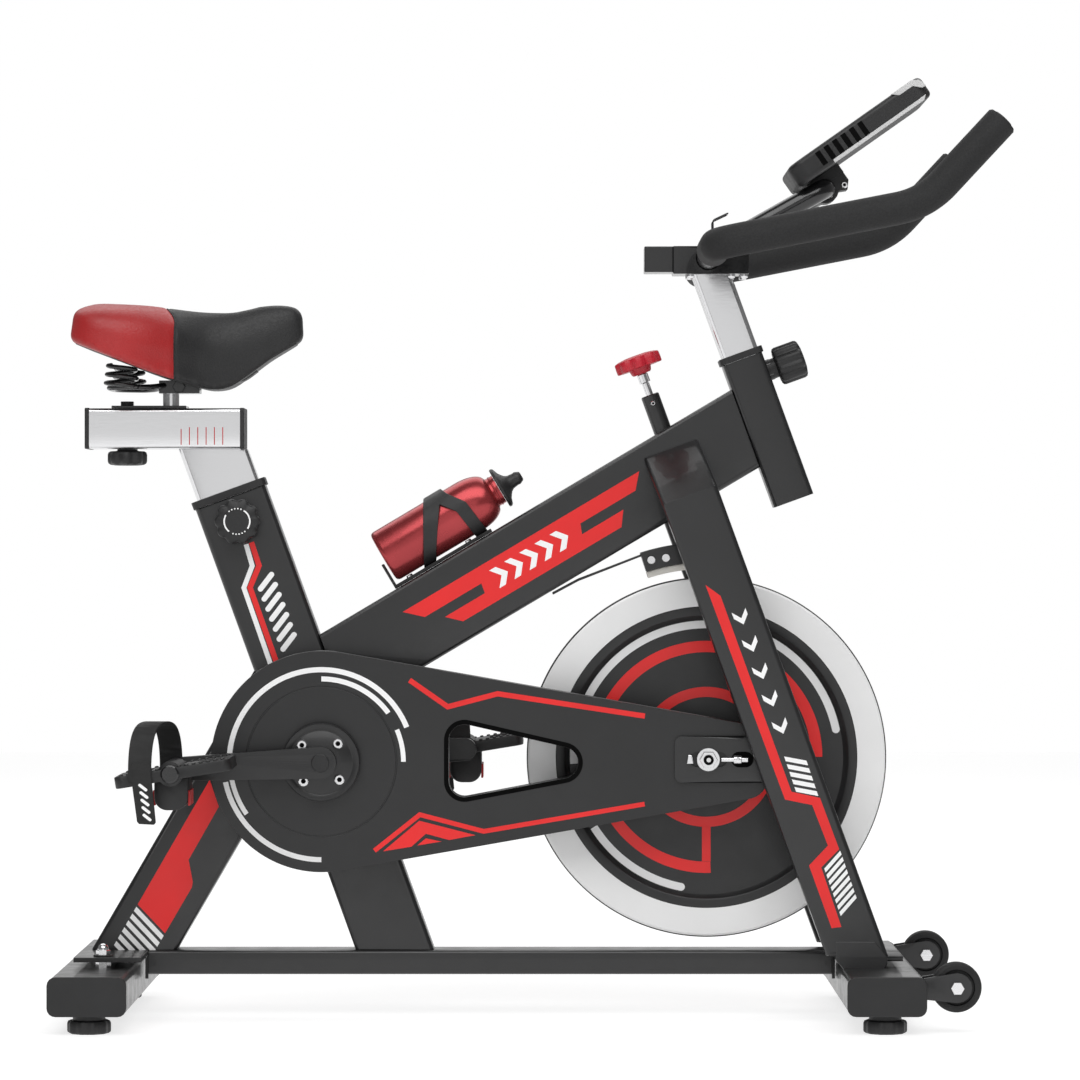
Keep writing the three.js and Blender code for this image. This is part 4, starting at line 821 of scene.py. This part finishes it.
def crank_arm(name, side):
    """A tapering arm with rounded edges, its boss, spider or plain hub, and the pedal's spindle."""
    end = pedal_centre(side)
    reach = ((end.x - CRANK.x) / MM, (end.z - CRANK.z) / MM)
    line = math.degrees(math.atan2(reach[1], reach[0]))
    outline = arc(0, 0, 17, line + 92, line + 268, 48) + arc(*reach, 12.5, line - 92, line + 92, 48)
    arm = filled(f"arm_{name}", [outline, hole(8.3)], CRANK_PLANE, *outward(side, 74, 89))
    bevel(arm, 2.6, 5, 40)
    out = Y * side
    spindle = turned(f"spindle_{name}", [(0, 76), (8.5, 76), (8.5, 90), (9.5, 90), (9.5, 95), (6, 95),
                                         (6, 188), (0, 188)], end, out, 48)
    pieces = [arm, spindle]
    if side < 0:
        disc = [(8.3, 66.2), (38, 66.2), (41.9, 67.6), (41.9, 73.4), (40.8, 74.8), (35, 75), (34.2, 74.2),
                (33.4, 75), (8.3, 75)]
        pieces.append(turned("spider", disc, CRANK, out, 128))
    else:
        pieces.append(turned("hub", [(8.3, 70), (22.5, 70), (24, 71.5), (24, 75), (8.3, 75)], CRANK, out,
                             96))
    settle(merged(f"crank_arm_{name}_finished", pieces), "cranks", CRANK_PAINT, [f"crank_arm_{name}"])
    lathe(f"crank_cap_{name}", "cranks", PLASTIC, [(0, 88), (9.6, 88), (9.6, 89.6), (8.6, 90.4), (0, 90.8)],
          CRANK, out, 48)
    socket_bolt(f"spindle_bolt_{name}", end + out * 188 * MM, out, 4.6, 2, "cranks")


for name, side in SIDES:
    crank_arm(name, side)
for i in range(4):
    angle = math.radians(47.5 + 90 * i)
    spot = CRANK + (X * math.cos(angle) + Z * math.sin(angle)) * 27.3 * MM - Y * 74.9 * MM
    socket_bolt(f"spider_bolt_{i}", spot, -Y, 5.3, 3.2, "cranks")

PEDAL_ALONG, PEDAL_UP = slope(math.radians(9.4))
PEDAL_Y = 148


def pedal(name, side):
    """A cage platform with studs, a barrel for the bearings, a counterweight and its reflectors."""
    body = f"pedal_{name}"
    middle = pedal_centre(side) + Y * side * PEDAL_Y * MM
    # the cage: a front and a rear half on the barrel, each with an opening
    waist, half_w, r = 46, 48, 9
    front = ([(7, -waist), (22, -waist)] + arc(64.5 - r, r - half_w, r, 270, 360, 10)
             + arc(64.5 - r, half_w - r, r, 0, 90, 10) + [(22, waist), (7, waist)])
    rear = ([(-7, waist), (-16, waist)] + arc(r - 58.5, half_w - r, r, 90, 180, 10)
            + arc(r - 58.5, r - half_w, r, 180, 270, 10) + [(-16, -waist), (-7, -waist)])
    openings = [[(a - 14, -33), (a + 14, -33), (a + 14, 33), (a - 14, 33)] for a in (-36, 42)]
    plate = bevel(filled("plate", [front, rear, *openings], (middle, PEDAL_ALONG, Y), -6.3, 6.3), 1.5, 3)
    barrel = turned("barrel", mirrored([(6.4, -44.5), (10.5, -44.5), (13, -42)]), middle, Y, 64)
    weight_outline = [(17.6, -4), (-17.6, -4), *arc(-4, -25, 13.6, 180, 270, 14),
                      *arc(4, -25, 13.6, 270, 360, 14)]
    weight = bevel(filled("weight", [weight_outline], (middle, X, Z), -30, 30), 1.6, 3)
    apply_modifiers(weight)
    subtract(weight, turned("room", [(0, -70), (6.4, -70), (6.4, 70), (0, 70)], middle, Y, 48))
    settle(merged(f"pedal_{name}_finished", [plate, weight, barrel]), body, PLASTIC, [f"pedal_{name}"])
    studs = []
    for row in (-44, -38, 38, 44):
        for k in range(15):
            along = k * 7.7 - 51
            spot = middle + PEDAL_ALONG * along * MM + Y * row * MM + PEDAL_UP * 6.2 * MM
            studs.append(turned("stud", [(0, 0), (2.2, 0), (1.8, 1.3), (0, 1.7)], spot, PEDAL_UP, 12))
    settle(merged(f"pedal_studs_{name}", studs), body, PLASTIC)
    for tag, x in (("front", 17.2), ("rear", -17.2)):
        settle(bevel(filled(f"reflector_{tag}_{name}", [[(-22, -15), (22, -15), (22, 1), (-22, 1)]],
                            (middle - Z * 19 * MM + X * x * MM, Y, Z), *sorted((0, math.copysign(2.4, x)))),
                     0.6), body, DULL_RED_VINYL)
    lathe(f"pedal_cap_{name}", body, GLOSS_PAINT, [(0, 44), (9.5, 44), (9.5, 46.6), (8, 47.8), (0, 47.8)],
          middle, Y * side, 48)
    # toe strap: an arch over the shoe that slants from the inner to the outer edge, and its tail
    reach, width, thick, rise = 48, 24, 2.5, 51
    centre_x = -31

    def arch(radius, top, steps=24):
        curve = []
        for i in range(steps + 1):
            t = i / steps
            p = [(radius, -8), (radius + 2, top * 0.75), (radius * 0.7, top), (0, top)]
            weights = [(1 - t) ** 3, 3 * t * (1 - t) ** 2, 3 * t * t * (1 - t), t ** 3]
            curve.append((sum(w * a for w, (a, b) in zip(weights, p)),
                          sum(w * b for w, (a, b) in zip(weights, p))))
        return curve + [(-a, b) for a, b in curve[-2::-1]]

    base = middle + X * centre_x * MM
    loop = arch(reach + 0.3 + thick, rise + thick) + arch(reach + 0.3, rise)[::-1]
    strap = filled("strap", [loop], (base, Y, Z), -width / 2, width / 2)
    outer = side * (reach + 0.3 + thick / 2)
    tail_outline = [(-8.6, 12), (-7.6, -12), (-2.6, -49), (-0.6, -51.6), (15, -52.4), (16.8, -50),
                    (13, -12), (11.2, 12)]
    tail = filled("tail", [tail_outline], (base, X, Z), *sorted((-outer - thick / 2, -outer + thick / 2)))
    pieces = merged(f"pedal_strap_{name}_finished", [bevel(strap, 0.7, 2), bevel(tail, 0.7, 2)])
    marks = [filled("mark", capsules(1, (0.6 + 1.1 * k, -11 - 7.8 * k), (0, 0), (6.4, -5), 3), (base, X, Z),
                    *sorted((-outer - side * thick / 2, -outer - side * (thick / 2 + 0.3))))
             for k in range(5)]
    slots = merged(f"strap_marks_{name}", marks)
    skew = 24 / (2 * reach)
    for piece in (pieces, slots):
        for vertex in piece.data.vertices:
            vertex.co.x += skew * ((PEDAL_Y + abs(outer)) * MM - side * vertex.co.y)
    settle(pieces, body, RUBBER, [f"pedal_strap_{name}"])
    settle(slots, body, WHITE_VINYL)


for name, side in SIDES:
    pedal(name, side)

# ---------------------------------------------------------------- seat post and slider
refined("seat_collar", PLASTIC, 1.2, 4)
refined("head_collar", PLASTIC, 1.2, 4)
refined("seat_post", CHROME, 0.6, corner=5)
refined("handlebar_post", CHROME, 0.6, corner=2.4)
refined("slider_tube", CHROME, 1.0, 4)
for tag, x0, x1 in (("rear", -492.4, -487.5), ("front", -324.5, -320)):
    settle(bevel(filled(f"slider_plug_{tag}", [round_box(-27.4, 27.4, -22.2, 22.2, 2.2, 6)],
                        (at(0, 0, 636.8), Y, Z), x0, x1), 0.8), "seat_post", PLASTIC)
marks = []
for x in range(-388, -342, 9):
    top = 636 if x == -388 else 638
    marks.append([(x - 0.5, 619), (x + 0.5, 619), (x + 0.5, top), (x - 0.5, top)])
sticker("slider_scale", marks, DATUM_PLANE, 27, DULL_RED_VINYL, "seat_post")


def grip_profile(r, neck, thick, neck_r, dome=2.0):
    """Neck, flared underside, rounded rim and a slightly domed face."""
    return [(neck_r, 0, 0), (neck_r, neck - 0.6, 0), (neck_r + 1.5, neck, 0), (r - 3, neck + 0.3, 1),
            (r - 0.8, neck + 1.6, 1), (r, neck + 4, 1), (r, neck + thick - 4, 1),
            (r - 0.8, neck + thick - 1.5, 1), (r - 3.2, neck + thick, 1),
            (r * 0.62, neck + thick + dome * 0.5, 0.4), (r * 0.6, neck + thick + dome * 0.2, 0),
            (r * 0.2, neck + thick + dome * 0.2, 0)]


# knob under the slider
settle(lobed("slider_knob_grip", at(-448.5, 0, 614.7), -Z, 8, 2.2, grip_profile(21.4, 2, 15, 11, 1.4)),
       "slider_knob", PLASTIC, ["slider_knob"])

# seat height pin knob: on the tube's right side, with a white ring on its face
pin_spot = at(-338.5 - math.tan(LEAN) * -34, -20.3, 536)
settle(lobed("seat_pin_grip", pin_spot, -Y, 10, 2.4, grip_profile(24.8, 12, 16, 12)), "seat_pin", PLASTIC,
       ["seat_pin_knob"])
settle(hexagon("seat_pin_nut", pin_spot + Y * 0.2 * MM, -Y, 22, 5), "seat_pin", CHROME)
marks = [band(0, 0, 13, 14.6, 150, 232, 30), band(0, 0, 13, 14.6, -34, 58, 30)]
for degrees in (72, 86, 100, 114, 128, 252, 266, 280, 294, 308):
    turn = math.radians(degrees)
    marks.append(hole(0.8, 13.8 * math.cos(turn), 13.8 * math.sin(turn)))
settle(filled("seat_pin_ring", marks, (pin_spot, X, Z), 28.3, 28.9), "seat_pin", WHITE_VINYL)

head_spot = at(216.7, 0, 718.9) + LEAN_UP * -28 * MM + LEAN_AHEAD * 22.8 * MM
settle(lobed("handlebar_pin_grip", head_spot, LEAN_AHEAD, 10, 2.4, grip_profile(21, 10, 30, 11)),
       "handlebar_pin", PLASTIC, ["handlebar_pin_knob"])
settle(hexagon("handlebar_pin_nut", head_spot + LEAN_AHEAD * 0.1 * MM, LEAN_AHEAD, 20, 5), "handlebar_pin",
       GLOSS_PAINT)

# ---------------------------------------------------------------- saddle, its clamp and springs
refined("saddle_carriage", GLOSS_PAINT, 0.6)
lathe("saddle_stem", "saddle", CHROME, [(0, 0), (8.8, 0), (8.8, 14), (0, 14)], at(-401, 0, 661.2), Z)
for name, side in SIDES:
    settle(hexagon(f"clamp_nut_{name}", at(-391, side * 15, 682), Y * side, 12, 6), "saddle", GLOSS_PAINT)

# (x, half width, underside, top) of the padding, from the rear to the nose
SADDLE = [(-506.4, 60, 734, 760), (-500, 81, 728.5, 767.5), (-484, 96, 722, 771), (-455, 100, 711, 770.5),
          (-424, 90, 699, 769), (-397, 72, 690, 766), (-375, 55, 684, 764), (-355, 43, 680, 763.5),
          (-335, 35, 683, 765), (-315, 30, 696, 769), (-293, 27, 712, 773), (-275, 24, 723, 773.5),
          (-262, 19, 731, 769.5), (-254.6, 10, 738, 757)]
SEAM_X = -392.5


def slice_at(x):
    """The saddle's half width, underside and top at one place, smoothly between its slices."""
    for i in range(len(SADDLE) - 1):
        if SADDLE[i][0] <= x <= SADDLE[i + 1][0]:
            break
    last = len(SADDLE) - 1
    before, a, b, after = (SADDLE[max(0, min(k, last))] for k in (i - 1, i, i + 1, i + 2))
    span = b[0] - a[0]
    t = (x - a[0]) / span
    values = []
    for k in (1, 2, 3):
        slope_a = (b[k] - before[k]) / (b[0] - before[0]) * span
        slope_b = (after[k] - a[k]) / (after[0] - a[0]) * span
        h = [2 * t ** 3 - 3 * t ** 2 + 1, t ** 3 - 2 * t ** 2 + t, 3 * t ** 2 - 2 * t ** 3, t ** 3 - t ** 2]
        values.append(h[0] * a[k] + h[1] * slope_a + h[2] * b[k] + h[3] * slope_b)
    return values


def saddle_form(shrink):
    """The closed cushion before it is inflated: crowned over the top, tucked in at its lower edge."""
    bm = bmesh.new()
    rings = []
    steps = 60
    x0, x1 = SADDLE[0][0] + shrink, SADDLE[-1][0] - shrink
    for i in range(steps + 1):
        x = x0 + (x1 - x0) * (0.5 - 0.5 * math.cos(math.pi * i / steps))
        half, low, high = slice_at(x)
        half -= shrink
        low -= 1.2
        high -= shrink

        def place(angle):
            across, up = math.cos(angle), math.sin(angle)
            y = half * math.copysign(abs(across) ** 0.55, across)
            if up >= 0:
                return at(x, y, low + 3 + (high - low - 3) * up ** 0.5)
            return at(x, y, low + 3 * (1 - abs(up) ** 0.5))

        rings.append(ring_of(bm, 48, place))
    return skin("saddle_cover", bm, rings, 60)


def freedom(place):
    """How freely a point of the cover moves: not at all where it is stapled to the pan."""
    low = slice_at((place.x - DATUM) / MM)[1]
    t = max(0.0, min(1.0, (place.z / MM - low - 3) / 16))
    return t * t * (3 - 2 * t)


FRAMES = 20
EVENING_ROUNDS = 14


def inflate(obj, cell, pressure, limit):
    """Fills a closed skin with air and keeps each vertex within a limit of where it was."""
    remesh = obj.modifiers.new("remesh", "REMESH")
    remesh.mode = "VOXEL"
    remesh.voxel_size = cell * MM
    apply_modifiers(obj)
    start = [v.co.copy() for v in obj.data.vertices]
    cloth = obj.modifiers.new("cloth", "CLOTH")
    cloth.settings.use_pressure = True
    cloth.settings.uniform_pressure_force = pressure
    cloth.settings.effector_weights.gravity = 0
    cloth.settings.quality = 6
    cloth.point_cache.frame_start = 1
    cloth.point_cache.frame_end = FRAMES
    scene = bpy.context.scene
    for step in range(1, FRAMES + 1):
        scene.frame_set(step)
    apply_modifiers(obj)
    scene.frame_set(1)
    moves = []
    for vertex, before in zip(obj.data.vertices, start):
        move = vertex.co - before
        moves.append(move.normalized() * min(move.length, limit * MM))
    # the padding under the skin evens the swelling out
    beside = [[i] for i in range(len(moves))]
    for a, b in (tuple(edge.vertices) for edge in obj.data.edges):
        beside[a].append(b)
        beside[b].append(a)
    for _ in range(EVENING_ROUNDS):
        moves = [sum((moves[k] for k in near), Vector()) / len(near) for near in beside]
    for vertex, before, move in zip(obj.data.vertices, start, moves):
        vertex.co = before + move * freedom(before)
    return obj


def seam_lean(z):
    """How far back the seam lies at a height: upright on the flank, turning back over the shoulder."""
    t = max(0.0, min(1.0, (z - 0.748) / 0.018))
    return 11 * MM * t * t


saddle = saddle_form(2.6)
inflate(saddle, 4, 4, 3.2)
smooth = saddle.modifiers.new("smooth", "SMOOTH")
smooth.factor = 0.5
smooth.iterations = 2
subdivide = saddle.modifiers.new("subdivide", "SUBSURF")
subdivide.levels = 1
subdivide.render_levels = 1
apply_modifiers(saddle)

# a relief channel along the middle, and the tuck of the seam between red and black
for vertex in saddle.data.vertices:
    x = (vertex.co.x - DATUM) / MM
    y = vertex.co.y / MM
    if vertex.co.z > 0.735:
        ends = max(0.0, 1 - ((x + 390) / 85) ** 4)
        vertex.co.z -= 3.4 * MM * math.exp(-(y / 8) ** 2) * ends
    normal = Vector((0, y, (vertex.co.z - 0.725) / MM)).normalized()
    from_seam = x + seam_lean(vertex.co.z) / MM - SEAM_X
    vertex.co -= normal * 1.3 * MM * math.exp(-(from_seam / 2.6) ** 2)


bm = bmesh.new()
bm.from_mesh(saddle.data)
for vertex in bm.verts:
    vertex.co.x += seam_lean(vertex.co.z)
plane = bmesh.ops.bisect_plane(bm, geom=bm.verts[:] + bm.edges[:] + bm.faces[:], plane_co=at(SEAM_X, 0, 0),
                               plane_no=X)
border = [e for e in plane["geom_cut"] if isinstance(e, bmesh.types.BMEdge)]
for face in bm.faces:
    face.material_index = 1 if face.calc_center_median().x < at(SEAM_X, 0, 0).x else 0
for vertex in bm.verts:
    vertex.co.x -= seam_lean(vertex.co.z)
seam_path = []
if border:
    edge = border[0]
    spot = edge.verts[0]
    left = set(border)
    while True:
        seam_path.append(spot.co.copy())
        following = [e for e in spot.link_edges if e in left]
        if not following:
            break
        left.discard(following[0])
        spot = following[0].other_vert(spot)
bm.to_mesh(saddle.data)
bm.free()
shade(saddle, 80)
material_index = [0] * len(saddle.data.polygons)
saddle.data.polygons.foreach_get("material_index", material_index)
settle(saddle, "saddle", [SKIN_BLACK, SKIN_RED], ["saddle"])
saddle.data.polygons.foreach_set("material_index", material_index)

settle(swept("saddle_seam", seam_path[:-1] if (seam_path[0] - seam_path[-1]).length < 1e-6 else seam_path,
             0.9, 10, closed=True), "saddle", SKIN_BLACK)

# the plastic pan that the cover is stapled to
bm = bmesh.new()
rings = []
for i in range(49):
    x = -498 + (498 - 264) * i / 48
    half, low, _ = slice_at(x)
    section = []
    for k in range(17):
        y = half * 0.82 * (k / 8 - 1)
        section.append((y, low + 2.6))
    rings.append([bm.verts.new(at(x, y, z)) for y, z in section]
                 + [bm.verts.new(at(x, y * 0.98, z - 4)) for y, z in section[::-1]])
settle(bevel(skin("saddle_pan_shell", bm, rings, 35), 0.8, 3, 50), "saddle", PLASTIC, ["saddle_pan"])

for name, side in SIDES:
    turns, steps = 2.6, 72
    points = []
    for i in range(steps + 1):
        t = i / steps
        angle = 2 * math.pi * turns * t
        r = 17.5 - 3 * t
        points.append(at(-450.5 + r * math.cos(angle), side * (46 + r * math.sin(angle)), 680.6 + 24 * t))
    settle(swept(f"saddle_spring_{name}", points, 2.4, 14), "saddle", GLOSS_PAINT)
frame_path = [at(-405, -9, 684), at(-420, -40, 681), at(-433, -50, 680.5), at(-456, -40, 680.5),
              at(-466, -28, 680.5)]
frame_path += [Vector((p.x, -p.y, p.z)) for p in frame_path[::-1]]
settle(swept("saddle_wire", bent(frame_path, 9, 6), 2.9, 16), "saddle", GLOSS_PAINT)
for name, side in SIDES:
    rail = [at(-384, side * 9, 684), at(-352, side * 10, 683), at(-322, side * 8, 690.5),
            at(-308, side * 7, 701)]
    settle(swept(f"saddle_rail_{name}", bent(rail, 14, 8), 2.9, 16), "saddle", GLOSS_PAINT)

# ---------------------------------------------------------------- handlebar
refined("stem_bracket", GLOSS_PAINT, 1.6, 4)


BAR_BEND = 29


def bar_corners(side):
    return [at(475.9, side * 262, 948.4), at(396, side * 262, 862.5), at(182, side * 262, 821)]


route = bent(bar_corners(-1) + bar_corners(1)[::-1], BAR_BEND, 14)
bar = swept("handlebar_tube", route, 12.5, 32)
hoop = bent([at(190, -45, 829), at(309, -45, 896), at(309, 45, 896), at(190, 45, 829)], 26, 14)
settle(merged("handlebar_finished", [bar, swept("hoop", hoop, 11, 32)]), "handlebar", GLOSS_PAINT,
       ["handlebar"])


def grip_size(t):
    """A sleeve of even thickness that rounds over at both ends."""
    edge = min(t, 1 - t) * 470
    return 17 - max(0.0, 2.2 - edge) ** 2 * 0.35


for name, side in SIDES:
    corners = bar_corners(side) + [at(182, side * 150, 821)]
    points = bent(corners, BAR_BEND, 14)
    dense = []
    for a, b in zip(points, points[1:]):
        count = max(1, round((b - a).length / (2.2 * MM)))
        dense += [a + (b - a) * i / count for i in range(count)]
    dense.append(points[-1])
    settle(swept(f"grip_{name}_sleeve", dense, grip_size, 48), "handlebar", FOAM, [f"grip_{name}"])
    lathe(f"grip_cap_{name}", "handlebar", PLASTIC, [(0, -1), (12, -1), (12, 0.6), (10.5, 1.6), (0, 2)],
          points[0].copy(), (points[0] - points[1]).normalized(), 48)
    lathe(f"grip_ring_{name}", "handlebar", PLASTIC,
          [(12.6, -1), (16, -1), (16.6, 0), (16.6, 1.6), (16, 2.4), (12.6, 2.4)], at(182, side * 150, 821),
          Y * -side, 48)

for x in (163, 207, 221):
    button_bolt(f"stem_bolt_{x}", at(x, -17, 804), -Z, 4.4, 4, "handlebar")
    button_bolt(f"stem_bolt_far_{x}", at(x, 17, 804), -Z, 4.4, 4, "handlebar")

# a wire clip over the crossbar
clip = [at(188, -14, 829), at(187.4, -14, 862.7), at(203.6, -14, 870.3), at(203.6, 14, 870.3),
        at(187.4, 14, 862.7), at(188, 14, 829)]
settle(swept("wire_clip", bent(clip, 3, 6), 0.9, 12), "handlebar", GLOSS_PAINT)

# ---------------------------------------------------------------- console
refined("console_clamp", PLASTIC, 1.2, 4)
CONSOLE_START = at(271.7, 0, 904.5)
CONSOLE_ALONG, CONSOLE_UP = slope(math.atan2(1006 - 904.5, 416 - 271.7))
CONSOLE_PLANE = (CONSOLE_START, CONSOLE_ALONG, CONSOLE_UP)
console_length = math.hypot(1006 - 904.5, 416 - 271.7)


def panel(name, x0, x1, half, low, high, corner, edge=1.0):
    """A rounded rectangle on the console's face, between two heights over its middle."""
    piece = filled(name, [round_box(x0, x1, -half, half, corner)], (CONSOLE_START, CONSOLE_ALONG, -Y),
                   -high, -low)
    return bevel(piece, edge, 4) if edge else piece


settle(panel("console_case", 0, console_length - 3, 75, -13, 12.2, 16, 5.5), "console", PLASTIC,
       ["console"])
settle(panel("console_bezel", 14, console_length - 14, 62, 12, 12.5, 8, 0), "console", GLOSS_PAINT)
settle(panel("console_screen", 62, console_length - 24, 46, 12.1, 12.8, 4, 0), "console", SCREEN)
for i in range(3):
    key = panel(f"console_key_{i}", 24, 44, 8, 12.1, 13, 5, 0.3)
    for vertex in key.data.vertices:
        vertex.co.y += (i - 1) * 34 * MM
    settle(key, "console", GREY_PLASTIC)
for name, side in SIDES:
    # near-black bars along the console's sides: painted shade for its grooves
    groove_shades = []
    for x in range(33, 99, 11):
        outline = [(x, -8.5), (x + 6, -8.5), (x + 6, 8), (x, 8)]
        groove_shades.append(bevel(filled("groove_shade_bar", [outline], CONSOLE_PLANE, *outward(side, 73.6, 75.6)), 0.5, 2))
    settle(merged(f"console_groove_shade_{name}", groove_shades), "console", SHADOW)
    band_outline = [(45, -12.8), (162, -12.8), (167, -8.6), (45, -8.6)]
    settle(bevel(filled(f"console_strip_{name}", [band_outline], CONSOLE_PLANE, *outward(side, 60, 74.8)),
                 0.6), "console", LIGHT_PLASTIC)
    edge_outline = [(136, 12.6), (143, 6.5), (160, 6.5), (168, -1), (172.4, -1), (170, 8), (162, 12.6)]
    settle(bevel(filled(f"console_edge_{name}", [edge_outline], CONSOLE_PLANE, *outward(side, 66, 75.4)),
                 0.6), "console", LIGHT_PLASTIC)
    socket_bolt(f"clamp_screw_{name}", at(309, side * 14, 896) - CONSOLE_UP * 8 * MM
                + CONSOLE_ALONG * 20 * MM, Y * side, 3.6, 2, "console")

# ---------------------------------------------------------------- brake
BRAKE = at(119.3, 0, 673.6)


def on_brake(along):
    return BRAKE + LEAN_UP * along * MM


lathe("brake_tube_turned", "frame", PAINT, [(4.7, -139), (9.4, -139), (10, -138.4), (10, -1), (9, 0),
                                            (4.7, 0)], BRAKE, LEAN_UP, 64, replaces=["brake_tube"])
socket_bolt("brake_tube_screw", on_brake(-10) - Y * 9.7 * MM, -Y, 2.8, 1.6, "frame")
settle(lobed("brake_knob_lobed", on_brake(31), LEAN_UP, 8, 3.4,
             [(22, 0.4, 0.8), (24.6, 0, 1), (25.4, 0.8, 1), (25.5, 6, 1), (25.2, 11, 1), (24.4, 12, 1),
              (20, 13.4, 0.8), (13, 14.4, 0), (6, 14.6, 0), (2, 14.6, 0)]), "brake_knob", KNOB_RED,
       ["brake_knob"])
lathe("brake_knob_boss", "brake_knob", KNOB_RED, [(4.4, 24.5), (9.6, 24.5), (11, 26), (12.5, 31.4),
        (4.4, 31.4)], BRAKE, LEAN_UP)
lathe("brake_rod_turned", "brake_rod", CHROME, [(0, -167.5), (3.4, -167.5), (4, -166.9), (4, 13.4),
        (5.4, 14), (6, 14.6), (6, 23.4), (5.4, 24), (4, 24.4), (4, 39.5), (3.4, 40), (0, 40)], BRAKE,
      LEAN_UP, 48, replaces=["brake_rod"])
refined("brake_arm", PAINT, 0.8)
pad_outline = arc(0, 0, 204, 87.5, 108, 40) + arc(0, 0, 211, 108, 87.5, 40)
settle(bevel(filled("brake_pad_block", [pad_outline], FLY_PLANE, -13, 13), 0.8), "brake_arm", FELT,
       ["brake_pad"])
for x, z in ((120.5, 494.4), (136.4, 496.7)):
    for name, side in SIDES:
        button_bolt(f"pad_bolt_{round(x)}_{name}", at(x, side * 16, z), Y * side, 4.6, 2.2, "brake_arm")

# ---------------------------------------------------------------- bottle and cage
BOTTLE = at(-170, 0, 497)
profile = [(0, 1.4), (20, 1.4), (22.5, 0.2), (25.8, 0), (28, 0.8), (29.2, 2.6), (29.6, 5), (29.6, 108)]
profile += [(16.5 + 13.1 * math.cos(math.pi * i / 32), 108 + 29 * math.sin(math.pi * i / 32))
            for i in range(1, 16)]
profile += [(17.2, 137.4), (16.5, 138), (16.5, 146), (0, 146)]
lathe("bottle_flask", "bottle", BOTTLE_RED, profile, BOTTLE, BEAM_ALONG, 96, 50, replaces=["bottle"])
for along, r in ((108, 29.4), (141.5, 17)):
    bead = [(r - 1.5, along - 1.3), (r, along - 0.8), (r + 0.2, along), (r, along + 0.8),
            (r - 1.5, along + 1.3)]
    lathe(f"bottle_bead_{round(along)}", "bottle", BOTTLE_RED, bead, BOTTLE, BEAM_ALONG, 96, 60)
CAP_FOOT = 146.3
cap = [(0, 0), (22, 0), (23, 0.8), (23, 3), (21.4, 4.6), (15.5, 6.6), (12, 9), (9.6, 11), (7.8, 14),
       (7, 20), (7.4, 22.4), (6.6, 24.4), (5.2, 27.2), (3.6, 28), (0, 28)]
cap = [(radius, CAP_FOOT + along) for radius, along in cap]
lathe("bottle_top", "bottle", PLASTIC, cap, BOTTLE, BEAM_ALONG, 64, 40, replaces=["bottle_cap"])
refined("bottle_cage", PLASTIC, 0.7)
for along in (14, 88):
    spot = BOTTLE + BEAM_ALONG * along * MM - BEAM_UP * 32.4 * MM
    socket_bolt(f"cage_bolt_{along}", spot, BEAM_UP, 3.8, 2.2, "frame")

# ---------------------------------------------------------------- floor, light and camera
bm = bmesh.new()
corners = [bm.verts.new((x, y, 0)) for x, y in ((-6, -6), (6, -6), (6, 6), (-6, 6))]
bm.faces.new(corners)
floor = from_bmesh("floor", bm)
pale, nodes, links, bsdf = shader("pale_floor", (0.38, 0.38, 0.38), 0.9, Emission_Color=(1, 1, 1, 1),
                                  Emission_Strength=0.74)
grain = texture(nodes, links, "ShaderNodeTexNoise", 30, Detail=3.0)
links.new(bump(nodes, links, grain, 0.0002), bsdf.inputs["Normal"])
floor.data.materials.append(pale)

# white behind the object, a dim room around it, so that rounded edges fall dark
world = bpy.data.worlds.new("studio")
world.use_nodes = True
nodes, links = world.node_tree.nodes, world.node_tree.links
room = nodes["Background"]
room.inputs["Color"].default_value = (1, 1, 1, 1)
room.inputs["Strength"].default_value = 0.18
white = nodes.new("ShaderNodeBackground")
white.inputs["Strength"].default_value = 1.0
white.inputs["Color"].default_value = (1, 1, 1, 1)
path = nodes.new("ShaderNodeLightPath")
choose = nodes.new("ShaderNodeMixShader")
links.new(path.outputs["Is Camera Ray"], choose.inputs["Fac"])
links.new(room.outputs["Background"], choose.inputs[1])
links.new(white.outputs["Background"], choose.inputs[2])
links.new(choose.outputs["Shader"], nodes["World Output"].inputs["Surface"])
bpy.context.scene.world = world


def softbox(name, place, target, width, height, power):
    data = bpy.data.lights.new(name, "AREA")
    data.shape = "RECTANGLE"
    data.size = width
    data.size_y = height
    data.energy = power
    light = bpy.data.objects.new(name, data)
    light.visible_camera = False
    light.location = place
    light.rotation_euler = (Vector(target) - Vector(place)).to_track_quat("-Z", "Y").to_euler()
    bpy.context.scene.collection.objects.link(light)


for side, name in ((-1, "front"), (1, "back")):
    softbox(name, (0, side * 6.6, 1.1), (0, side * 3, 1.1), 4.4, 3.4, 31)
softbox("key", (0, -2.9, 4.0), (0, 0, 0.5), 6, 3.6, 195)
softbox("fill", (0, 2.9, 4.0), (0, 0, 0.5), 6, 3.6, 110)

camera_data = bpy.data.cameras.new("camera")
camera_data.lens = 148.7
camera_data.sensor_width = 36
camera = bpy.data.objects.new("camera", camera_data)
camera.location = (0.0126, -4.85, 0.516)
camera.rotation_euler = (math.radians(90), 0, 0)
bpy.context.scene.collection.objects.link(camera)
bpy.context.scene.camera = camera
bpy.context.scene.view_settings.view_transform = "Standard"
